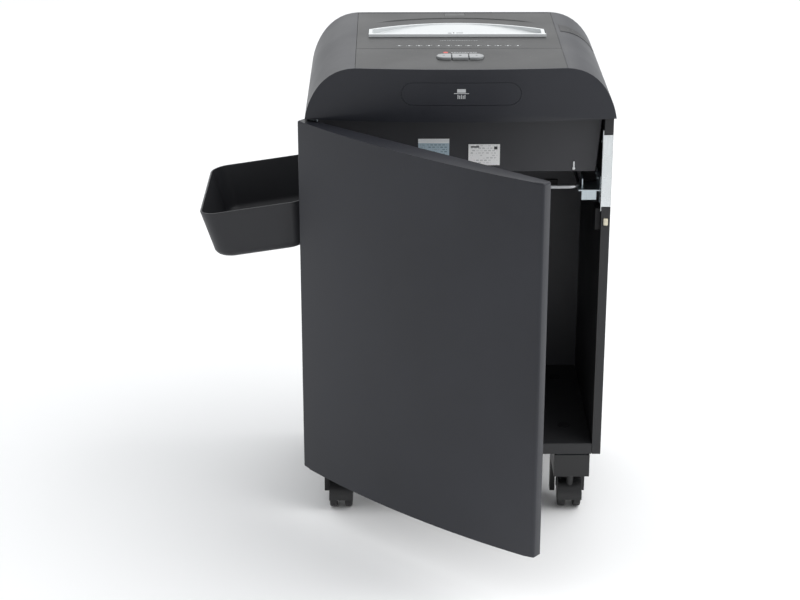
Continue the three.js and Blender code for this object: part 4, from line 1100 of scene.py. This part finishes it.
# ---------------------------------------------------------------- cabinet
class SHREDDER_OT_cabinet(bpy.types.Operator):
    """Builds the four boards, with rounded banded edges, and the screws in the back board"""

    bl_idname = "shredder.cabinet"
    bl_label = "Cabinet boards"

    def execute(self, context):
        edge = sizes().board_edge
        soften_all((
            ("cabinet_left_panel", "left_board", "board", edge, 3),
            ("cabinet_right_panel", "right_board", "board", edge, 3),
            ("cabinet_base", "base_board", "board", edge, 2),
            ("cabinet_back_panel", "back_board", "back_board", 0.5 * MM),
        ))
        self.back_screws()
        self.cam_covers()
        return {"FINISHED"}

    def back_screws(self):
        lo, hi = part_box("cabinet_back_panel")
        bm = bmesh.new()
        for x in (lo.x + 9 * MM, 0.0, hi.x - 9 * MM):
            for z in (lo.z + 12 * MM, (lo.z + hi.z) / 2, hi.z - 14 * MM):
                if x or z != (lo.z + hi.z) / 2:
                    screw(bm, (x, hi.y - 0.05 * MM, z), BACK, 3.6 * MM)
        piece("back_board_screws", bm, "zinc", "cabinet")

    def cam_covers(self):
        """Shallow caps over the fittings that join the base to the sides, inside the cabinet."""
        lo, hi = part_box("cabinet_base")
        bm = bmesh.new()
        for x in (lo.x + 34 * MM, hi.x - 34 * MM):
            for y in (lo.y + 60 * MM, hi.y - 50 * MM):
                cap = cone(bm, Matrix.Translation((x, y, hi.z + 0.5 * MM)), 32, 8.5 * MM, 8.5 * MM, 1 * MM)
                bevel_edges(bm, furthest_face(cap, UP).edges, 0.6 * MM, 3)
        piece("cam_covers", bm, "inner", "cabinet")


# ---------------------------------------------------------------- door
def hang(bm):
    """Turns what was built with the door closed to where the door stands at rest."""
    hinge = joints["door_hinge"]
    turn = Matrix.Rotation(math.radians(-hinge["range_deg"][0]), 3, Vector(hinge["axis"]))
    bmesh.ops.rotate(bm, cent=Vector(hinge["pos_m"]), matrix=turn, verts=bm.verts)


def closed_door():
    """Half width of the closed door, and where its back is."""
    lo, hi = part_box("cabinet_right_panel")
    return hi.x, lo.y - sizes().door_gap


class SHREDDER_OT_door(bpy.types.Operator):
    """Builds the bowed door shell with its liner and magnet"""

    bl_idname = "shredder.door"
    bl_label = "Door"

    def execute(self, context):
        self.shell()
        soften("door_liner", "liner_panel", "inner", 0.6 * MM)
        soften("door_magnet", "magnet_bar", "steel", 0.5 * MM)
        self.liner_screws()
        return {"FINISHED"}

    def shell(self):
        size = sizes()
        lo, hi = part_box("door_shell")
        half, back = closed_door()
        front = back - size.door_end
        bm = bmesh.new()
        outline = rectangle((0, (lo.z + hi.z) / 2), 2 * half, hi.z - lo.z)
        bm.faces.new(chain(bm, [(x, front, z) for x, z in outline], True)[0])
        columns = 28
        slice_columns(bm, [half * (2 * step / columns - 1) for step in range(1, columns)])
        for vert in bm.verts:
            vert.co.y = front - bow(vert.co.x, half)
        rim = [edge for edge in bm.edges if edge.is_boundary]
        bmesh.ops.recalc_face_normals(bm, faces=bm.faces)
        for vert in only(VERT, bmesh.ops.extrude_edge_only(bm, edges=rim)["geom"]):
            vert.co.y = back

        def upright_corner(edge):
            first, second = (vert.co for vert in edge.verts)
            at_the_side = all(abs(abs(point.x) - half) < 0.1 * MM for point in (first, second))
            return at_the_side and abs(first.y - second.y) > 2 * MM

        corners = [edge for edge in bm.edges if upright_corner(edge)]
        bevel_edges(bm, rim + corners, size.door_edge, 6)
        outward(bm)
        flip_if(bm, -BACK)
        hang(bm)
        made = piece("door_skin", bm, "shell", "door", ("door_shell",), smooth=30)
        wall(made, 2.6 * MM)

    def liner_screws(self):
        bm = bmesh.new()
        half, back = closed_door()
        lo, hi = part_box("door_liner")
        for x in (-half + 26 * MM, half - 26 * MM):
            for z in (lo.z + 22 * MM, (lo.z + hi.z) / 2 - 30 * MM, hi.z - 22 * MM):
                screw(bm, (x, back - 0.6 * MM, z), BACK, 2.8 * MM)
        hang(bm)
        piece("liner_screws", bm, "inner", "door")


class SHREDDER_OT_hardware(bpy.types.Operator):
    """Builds the hinge brackets, the strike plate with its screws, and the door interlock"""

    bl_idname = "shredder.hardware"
    bl_label = "Hinges and interlock"

    def execute(self, context):
        soften_all((
            ("hinge_bracket_bottom", "hinge_bottom", "zinc", 0.4 * MM),
            ("hinge_bracket_top", "hinge_top", "zinc", 0.4 * MM),
            ("strike_plate", "strike_face", "bright", 0.3 * MM),
            ("interlock_plunger", "plunger", "cream", 1.2 * MM, 4),
            ("interlock_switch", "switch_body", "inner", 0.8 * MM),
        ))
        self.strike_screws()
        return {"FINISHED"}

    def strike_screws(self):
        lo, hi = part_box("strike_plate")
        bm = bmesh.new()
        for z in (lo.z + 16 * MM, hi.z - 16 * MM):
            screw(bm, (lo.x + 0.05 * MM, lo.y + 5.2 * MM, z), -RIGHT, 2.2 * MM)
        piece("strike_screws", bm, "zinc", "cabinet")


# ---------------------------------------------------------------- mechanism
class SHREDDER_OT_housing(bpy.types.Operator):
    """Builds the mechanism housing and finishes the labels and the clip on it"""

    bl_idname = "shredder.housing"
    bl_label = "Mechanism housing"

    def execute(self, context):
        soften("mechanism_housing", "housing_shell", "housing", 1.6 * MM, 3)
        dress("rating_label", "rating_print")
        dress("notice_label", "notice_print")
        soften("housing_clip", "clip", "pale", 0.3 * MM)
        self.rating_corner()
        return {"FINISHED"}

    def rating_corner(self):
        """A dark square and a short bar, as generic marks on the rating label."""
        lo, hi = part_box("rating_label")
        bm = bmesh.new()
        square = (hi.x - 5.5 * MM, hi.z - 5 * MM, 2.2 * MM, 2 * MM)
        bar = (lo.x + 8.5 * MM, hi.z - 3.6 * MM, 5.5 * MM, 0.9 * MM)
        for x, z, half_w, half_t in (square, bar):
            near = (x - half_w, lo.y - 0.08 * MM, z - half_t)
            block(bm, near, (x + half_w, lo.y + 0.05 * MM, z + half_t), 0.03 * MM, 1)
        piece("label_marks", bm, "dark_print", "cabinet")


class SHREDDER_OT_mechanism(bpy.types.Operator):
    """Turns the cutters, and finishes the gears, motor, side plates, strippers and control board"""

    bl_idname = "shredder.mechanism"
    bl_label = "Cutting mechanism"

    def execute(self, context):
        self.cutter("cutter_front", "front_cutter", 14, "cutter_front_spin")
        self.cutter("cutter_rear", "rear_cutter", 13, "cutter_rear_spin")
        for node in ("gear_front", "gear_rear", "reduction_gear"):
            dress(node, "nylon")
        dress("motor_pinion", "brass")
        self.motor()
        soften_all((
            ("side_plate_left", "left_side_plate", "zinc", 0.4 * MM),
            ("side_plate_right", "right_side_plate", "zinc", 0.4 * MM),
            ("stripper_front", "front_stripper", "inner", 0.3 * MM),
            ("stripper_rear", "rear_stripper", "inner", 0.3 * MM),
        ))
        dress("control_board", "circuit")
        return {"FINISHED"}

    def cutter(self, node, name, count, joint):
        """Discs, core and shaft turned from one outline, with three notches in every disc."""
        lo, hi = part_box(node)
        axis = Vector(joints[joint]["pos_m"])
        radius, core, shaft = (hi.z - lo.z) / 2, 14 * MM, 6 * MM
        pitch, thick = 16 * MM, 6 * MM
        outline = [(lo.x, 0.0), (lo.x, shaft)]
        first = -(count - 1) / 2 * pitch
        outline += [(first - thick, shaft), (first - thick, core)]
        for index in range(count):
            x = first + index * pitch
            near, far = x - thick / 2, x + thick / 2
            outline += [(near, core), (near, radius), (far, radius), (far, core)]
        outline += [(-first + thick, core), (-first + thick, shaft), (hi.x, shaft), (hi.x, 0.0)]
        bm = bmesh.new()
        steps = 36
        lathe(bm, outline, axis, steps)
        for vert in bm.verts:
            away = Vector((0, vert.co.y - axis.y, vert.co.z - axis.z))
            if away.length > radius - 0.5 * MM:
                step = round(math.degrees(math.atan2(away.y, away.z)) / (360 / steps))
                if step % 12 == 0:
                    away *= 0.80
                    vert.co = Vector((vert.co.x, axis.y + away.y, axis.z + away.z))
        outward(bm)
        piece(name, bm, "steel", body_of(node), (node,), smooth=30)

    def motor(self):
        lo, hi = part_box("motor")
        bm = bmesh.new()
        radius = (hi.z - lo.z) / 2
        can_end = hi.x - 8 * MM
        outline = [
            (lo.x, 0.0),
            (lo.x, radius - 2 * MM),
            (lo.x + 2 * MM, radius),
            (lo.x + 18 * MM, radius),
            (lo.x + 18.6 * MM, radius - 0.7 * MM),
            (lo.x + 20 * MM, radius - 0.7 * MM),
            (lo.x + 20.6 * MM, radius),
            (can_end - 3 * MM, radius),
            (can_end, radius - 3 * MM),
            (can_end, radius * 0.45),
            (hi.x - 1 * MM, radius * 0.45),
            (hi.x, radius * 0.45 - 1 * MM),
            (hi.x, 0.0),
        ]
        lathe(bm, outline, middle("motor"), 48)
        outward(bm)
        piece("motor_can", bm, "steel", "cabinet", ("motor",))


class SHREDDER_OT_rear_connections(bpy.types.Operator):
    """Builds the power inlet and the rocker switch at the back of the head"""

    bl_idname = "shredder.rear_connections"
    bl_label = "Rear connections"

    def execute(self, context):
        soften_all((
            ("power_inlet", "inlet_socket", "inner", 0.8 * MM, 3),
            ("switch_frame", "switch_bezel", "inner", 0.8 * MM, 3),
            ("rocker_switch", "rocker_key", "inner", 0.8 * MM, 3),
        ))
        self.rocker_marks()
        return {"FINISHED"}

    def rocker_marks(self):
        """A bar and a ring on the two halves of the rocker."""
        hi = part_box("rocker_switch")[1]
        bm = bmesh.new()
        x, _, level = middle("rocker_switch")
        high = Matrix.Translation((x, hi.y - 1.15 * MM, level + 4.4 * MM))
        cuboid(bm, high @ Matrix.Rotation(math.radians(-14), 4, "X"), 0.9 * MM, 0.3 * MM, 4 * MM)
        low = Matrix.Translation((x, hi.y - 3.2 * MM, level - 5 * MM))
        flat = low @ Matrix.Rotation(math.radians(80), 4, "X")
        ring = bmesh.ops.create_circle(bm, segments=24, radius=1.5 * MM, matrix=flat)["verts"]
        inner = bmesh.ops.extrude_edge_only(bm, edges=list(edges_of(ring)))["geom"]
        shift = Matrix.Translation(-low.translation)
        bmesh.ops.scale(bm, vec=(0.62, 0.62, 0.62), space=shift, verts=only(VERT, inner))
        piece("rocker_marks", bm, "pale_print", "rocker", weighted=False)


# ---------------------------------------------------------------- bag frame
class SHREDDER_OT_bag_frame(bpy.types.Operator):
    """Bends the bag frame from one wire, and finishes its brackets and the clip on the back wall"""

    bl_idname = "shredder.bag_frame"
    bl_label = "Bag frame"

    def execute(self, context):
        self.wire()
        soften_all((
            ("bag_bracket_left", "left_bag_bracket", "zinc", 0.4 * MM),
            ("bag_bracket_right", "right_bag_bracket", "zinc", 0.4 * MM),
            ("wall_clip", "bag_clip", "inner", 0.5 * MM),
        ))
        self.bracket_screws()
        return {"FINISHED"}

    def wire(self):
        lo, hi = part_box("bag_frame")
        radius = (hi.z - lo.z) / 2
        corner = sizes().wire_corner
        inset = Vector((radius + corner, radius + corner, 0))
        near, far = lo + inset, hi - inset
        z = (lo.z + hi.z) / 2
        bm = bmesh.new()
        start = Matrix.Translation((near.x, lo.y + radius, z)) @ Matrix.Rotation(math.pi / 2, 4, "Y")
        loop = bmesh.ops.create_circle(bm, segments=12, radius=radius, matrix=start)["verts"]
        edges = list(edges_of(loop))
        centres = [(far.x, near.y), (far.x, far.y), (near.x, far.y), (near.x, near.y)]
        spans = [far.x - near.x, far.y - near.y] * 2
        for side, (centre, span) in enumerate(zip(centres, spans)):
            ahead = Matrix.Rotation(side * math.pi / 2, 3, "Z") @ RIGHT
            edges = carried(bm, edges, ahead * span)
            whole = list({vert for edge in edges for vert in edge.verts}) + edges
            cent = (*centre, z)
            bend = bmesh.ops.spin(bm, geom=whole, cent=cent, axis=UP, angle=math.pi / 2, steps=8)
            edges = only(EDGE, bend["geom_last"])
        bmesh.ops.remove_doubles(bm, verts=bm.verts, dist=0.05 * MM)
        bmesh.ops.recalc_face_normals(bm, faces=bm.faces)
        piece("bag_wire", bm, "steel", "bag_frame", ("bag_frame",), weighted=False)

    def bracket_screws(self):
        bm = bmesh.new()
        for node, side in (("bag_bracket_left", 1), ("bag_bracket_right", -1)):
            lo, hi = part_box(node)
            wall_x = (lo.x + 2.0 * MM) if side > 0 else (hi.x - 2.0 * MM)
            for y in (hi.y - 7 * MM, lo.y + 20 * MM):
                screw(bm, (wall_x, y, hi.z - 8 * MM), RIGHT * side, 2.6 * MM)
        piece("bracket_screws", bm, "zinc", "cabinet")


# ---------------------------------------------------------------- tray
class SHREDDER_OT_tray(bpy.types.Operator):
    """Builds the rounded tub tray and the two hooks it hangs by"""

    bl_idname = "shredder.tray"
    bl_label = "Tray"

    reach: length("Reach", "How far the tray stands out from the side", 147 * MM)
    run: length("Length", "Length of the tray along the side", 212 * MM)
    depth: length("Depth", "Depth of the tub", 70 * MM)
    tilt: FloatProperty(
        name="Tilt", description="How far it hangs down", default=math.radians(8.6), subtype="ANGLE"
    )

    def execute(self, context):
        size = sizes()
        box_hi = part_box("tray")[1]
        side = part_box("cabinet_left_panel")[0].x
        hang_at = Vector((side - 0.7 * MM, middle("tray").y, box_hi.z))
        bm = bmesh.new()
        centre = Vector((-self.reach / 2, 0, 0))
        place = Matrix.Translation(centre) @ Matrix.Diagonal((self.reach / 2, self.run / 2, 1, 1))
        verts = bmesh.ops.create_grid(bm, x_segments=1, y_segments=1, size=1.0, matrix=place)["verts"]
        bmesh.ops.bevel(
            bm,
            geom=verts,
            offset=size.tray_corner,
            offset_type="OFFSET",
            segments=9,
            profile=0.5,
            affect="VERTICES",
            material=-1,
        )
        loop = bm.edges[:]
        bmesh.ops.delete(bm, geom=bm.faces[:], context="FACES_ONLY")

        def ring(loop, level, before, inset):
            """One more ring round the tub, at a level. The insets are from the rim, last one and new."""
            across, along = ((half - inset) / (half - before) for half in (self.reach / 2, self.run / 2))
            new = carried(bm, loop, (0, 0, 0))
            verts = list({vert for edge in new for vert in edge.verts})
            for vert in verts:
                vert.co.z = level
            bmesh.ops.scale(bm, vec=(across, along, 1), space=Matrix.Translation(-centre), verts=verts)
            return new

        lean = size.tray_taper / self.depth
        round_start = self.depth - size.tray_floor
        wall_inset = round_start * lean
        rings = [(-round_start * share, wall_inset * share) for share in (0.06, 0.35, 0.7, 1.0)]
        for step in range(1, 8):
            angle = math.pi / 2 * step / 7
            inset = wall_inset + (size.tray_floor + 3 * MM) * (1 - math.cos(angle))
            rings.append((-round_start - size.tray_floor * math.sin(angle), inset))
        rings.append((-self.depth, wall_inset + size.tray_floor + 16 * MM))
        before = 0.0
        for level, inset in rings:
            loop = ring(loop, level, before, inset)
            before = inset
        fill(bm, loop)
        outward(bm)
        flip_if(bm, -UP)
        tilt = Matrix.Translation(hang_at) @ Matrix.Rotation(-self.tilt, 4, "Y")
        bmesh.ops.transform(bm, matrix=tilt, verts=bm.verts)
        made = piece("tray_tub", bm, "tray", "tray", ("tray",), smooth=40)
        wall(made, 2.6 * MM)
        round_edges(made, 0.8 * MM, 3, 60)
        self.hooks(hang_at, box_hi)
        return {"FINISHED"}

    def hooks(self, hang_at, box_hi):
        bm = bmesh.new()
        for side in (-1, 1):
            y = hang_at.y + side * 60 * MM
            lo_z, hi_z = hang_at.z - 32 * MM, hang_at.z - 26 * MM
            block(bm, (hang_at.x - 2 * MM, y - 6 * MM, lo_z), (box_hi.x, y + 6 * MM, hi_z), 0.8 * MM)
            lip_lo = (box_hi.x - 4 * MM, y - 6 * MM, lo_z - 10 * MM)
            block(bm, lip_lo, (box_hi.x, y + 6 * MM, hi_z), 0.8 * MM)
        piece("tray_hooks", bm, "tray", "tray")


# ---------------------------------------------------------------- castors
class SHREDDER_OT_castors(bpy.types.Operator):
    """Builds the four twin-wheel castors: bracket, fixing plate, hood, axle caps and tyres"""

    bl_idname = "shredder.castors"
    bl_label = "Castors"

    def execute(self, context):
        for place in CASTORS:
            soften(f"castor_{place}_bracket", f"bracket_{place}", "castor", 1.4 * MM, 3)
            soften(f"castor_{place}_hood", f"hood_{place}", "castor", 0.8 * MM, 2, 40)
            self.wheels(place)
            self.fixing_plate(place)
        return {"FINISHED"}

    def wheels(self, place):
        node = f"castor_{place}_wheels"
        lo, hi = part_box(node)
        centre = middle(node)
        radius = (hi.z - lo.z) / 2
        width, inner = 11 * MM, 5.6 * MM
        rim = radius - 1.5 * MM
        face = inner + width
        outline = [
            (inner - 4.5 * MM, 3.9 * MM),
            (inner, 3.9 * MM),
            (inner, rim),
            (inner + 0.9 * MM, radius),
            (inner + width * 0.45, radius),
            (inner + width * 0.5, radius - 0.4 * MM),
            (inner + width * 0.55, radius),
            (face - 2.6 * MM, radius),
            (face - 1.2 * MM, radius - 0.6 * MM),
            (face - 0.8 * MM, rim - 1 * MM),
            (face - 1.4 * MM, rim - 2 * MM),
            (face - 1.4 * MM, rim - 2.8 * MM),
            (face - 0.6 * MM, rim - 3.8 * MM),
            (face - 0.2 * MM, rim * 0.45),
            (face, rim * 0.2),
            (face, 0.0),
        ]
        bm = bmesh.new()
        for side in (-1, 1):
            lathe(bm, [(centre.x + side * out, away) for out, away in outline], centre, sizes().wheel_steps)
        outward(bm)
        piece(f"tyres_{place}", bm, "tyre", body_of(node), (node,), smooth=30)

    def fixing_plate(self, place):
        lo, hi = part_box(f"castor_{place}_bracket")
        bm = bmesh.new()
        inset = Vector((3 * MM, 3 * MM, 0))
        near, far = lo + inset, hi - inset
        near.z, far.z = hi.z - 0.1 * MM, -0.1 * MM
        block(bm, near, far, 0.4 * MM)
        piece(f"fixing_plate_{place}", bm, "zinc", "cabinet")


# ---------------------------------------------------------------- stage
class SHREDDER_OT_stage(bpy.types.Operator):
    """Sets the pale floor, the studio light and the camera"""

    bl_idname = "shredder.stage"
    bl_label = "Stage"
    softboxes = (
        ("key", (1.5, -0.5, 2.4), (0, 0, 0.25), 2.2, 36),
        ("back", (-0.4, 2.6, 2.3), (0, 0, 0.3), 3.0, 14),
        ("right", (2.6, -1.1, 0.9), (0, -0.1, 0.3), 1.6, 14),
        ("low", (0.1, -0.66, -0.02), (0.1, -0.659, -1), 0.5, 0.5),
    )
    floor_half = 14
    floor_tone = 0.93
    sensor, lens = 36, 88.57
    camera_place = (-0.0902, -2.5787, 1.2010)
    camera_fall, camera_turn = 21.71, -0.295

    def execute(self, context):
        self.floor()
        self.sky()
        for name, place, aim, width, power in self.softboxes:
            self.softbox(name, place, aim, width, power)
        self.camera()
        context.scene.view_settings.view_transform = "Standard"
        return {"FINISHED"}

    def floor(self):
        bm = bmesh.new()
        level = Matrix.Translation((0, 0, cad_box[0][2]))
        bmesh.ops.create_grid(bm, x_segments=1, y_segments=1, size=self.floor_half, matrix=level)
        mesh = bpy.data.meshes.new("floor")
        bm.to_mesh(mesh)
        bm.free()
        floor = bpy.data.objects.new("floor", mesh)
        bpy.context.scene.collection.objects.link(floor)
        material = bpy.data.materials.new("floor")
        material.use_nodes = True
        shader = material.node_tree.nodes["Principled BSDF"]
        shader.inputs["Base Color"].default_value = (*[self.floor_tone] * 3, 1)
        shader.inputs["Roughness"].default_value = 0.9
        shader.inputs["Specular IOR Level"].default_value = 0.1
        mesh.materials.append(material)

    def sky(self):
        """A bright sky behind and above, dimmer on the camera's side, white to the camera."""
        world = bpy.data.worlds.new("studio")
        bpy.context.scene.world = world
        world.use_nodes = True
        tree = world.node_tree
        light = tree.nodes["Background"]
        output = tree.nodes["World Output"]
        split = tree.nodes.new("ShaderNodeSeparateXYZ")
        tree.links.new(tree.nodes.new("ShaderNodeTexCoord").outputs["Generated"], split.inputs["Vector"])
        behind = spread(tree, split.outputs["Y"], -0.7, 0.6, 0.50, 0.86)
        above = spread(tree, split.outputs["Z"], 0.1, 0.9, 0.0, 0.35)
        tree.links.new(arithmetic(tree, "ADD", behind, above), light.inputs["Strength"])
        plain = tree.nodes.new("ShaderNodeBackground")
        plain.inputs["Color"].default_value = (1, 1, 1, 1)
        seen = tree.nodes.new("ShaderNodeLightPath")
        mix = tree.nodes.new("ShaderNodeMixShader")
        light.inputs["Color"].default_value = (0.97, 0.985, 1.0, 1)
        tree.links.new(seen.outputs["Is Camera Ray"], mix.inputs["Fac"])
        tree.links.new(light.outputs["Background"], mix.inputs[1])
        tree.links.new(plain.outputs["Background"], mix.inputs[2])
        tree.links.new(mix.outputs["Shader"], output.inputs["Surface"])

    def softbox(self, name, place, aim, width, power):
        data = bpy.data.lights.new(name, "AREA")
        data.shape = "SQUARE"
        data.size = width
        data.energy = power
        lamp = bpy.data.objects.new(name, data)
        bpy.context.scene.collection.objects.link(lamp)
        lamp.location = place
        lamp.rotation_euler = (Vector(aim) - Vector(place)).to_track_quat("-Z", "Y").to_euler()

    def camera(self):
        data = bpy.data.cameras.new("camera")
        data.sensor_width = self.sensor
        data.lens = self.lens
        camera = bpy.data.objects.new("camera", data)
        bpy.context.scene.collection.objects.link(camera)
        camera.location = self.camera_place
        camera.rotation_euler = (math.radians(90 - self.camera_fall), 0, math.radians(self.camera_turn))
        bpy.context.scene.camera = camera


# ---------------------------------------------------------------- panel and registration
STEPS = (
    SHREDDER_OT_stage,
    SHREDDER_OT_cabinet,
    SHREDDER_OT_head_cover,
    SHREDDER_OT_badge,
    SHREDDER_OT_deck,
    SHREDDER_OT_throat,
    SHREDDER_OT_controls,
    SHREDDER_OT_door,
    SHREDDER_OT_hardware,
    SHREDDER_OT_housing,
    SHREDDER_OT_mechanism,
    SHREDDER_OT_rear_connections,
    SHREDDER_OT_bag_frame,
    SHREDDER_OT_tray,
    SHREDDER_OT_castors,
)


class SHREDDER_PT_panel(bpy.types.Panel):
    """Lists the sizes, the colours and the steps that build the shredder"""

    bl_idname = "SHREDDER_PT_panel"
    bl_label = "Paper shredder"
    bl_space_type = "VIEW_3D"
    bl_region_type = "UI"
    bl_category = "Shredder"

    def draw(self, context):
        for group in (context.scene.shredder_sizes, context.scene.shredder_colours):
            column = self.layout.column(align=True)
            for name in group.__annotations__:
                column.prop(group, name)
        for step in STEPS:
            self.layout.operator(step.bl_idname)


CLASSES = (ShredderSizes, ShredderColours, *STEPS, SHREDDER_PT_panel)


def register():
    for kind in CLASSES:
        bpy.utils.register_class(kind)
    bpy.types.Scene.shredder_sizes = PointerProperty(type=ShredderSizes)
    bpy.types.Scene.shredder_colours = PointerProperty(type=ShredderColours)


def unregister():
    del bpy.types.Scene.shredder_colours
    del bpy.types.Scene.shredder_sizes
    for kind in reversed(CLASSES):
        bpy.utils.unregister_class(kind)


def plain(box):
    return [[float(value) for value in corner] for corner in box]


def main():
    register()
    random.seed(sizes().seed)
    for step in STEPS:
        group, name = step.bl_idname.split(".")
        getattr(getattr(bpy.ops, group), name)()


if __name__ == "__main__":
    main()
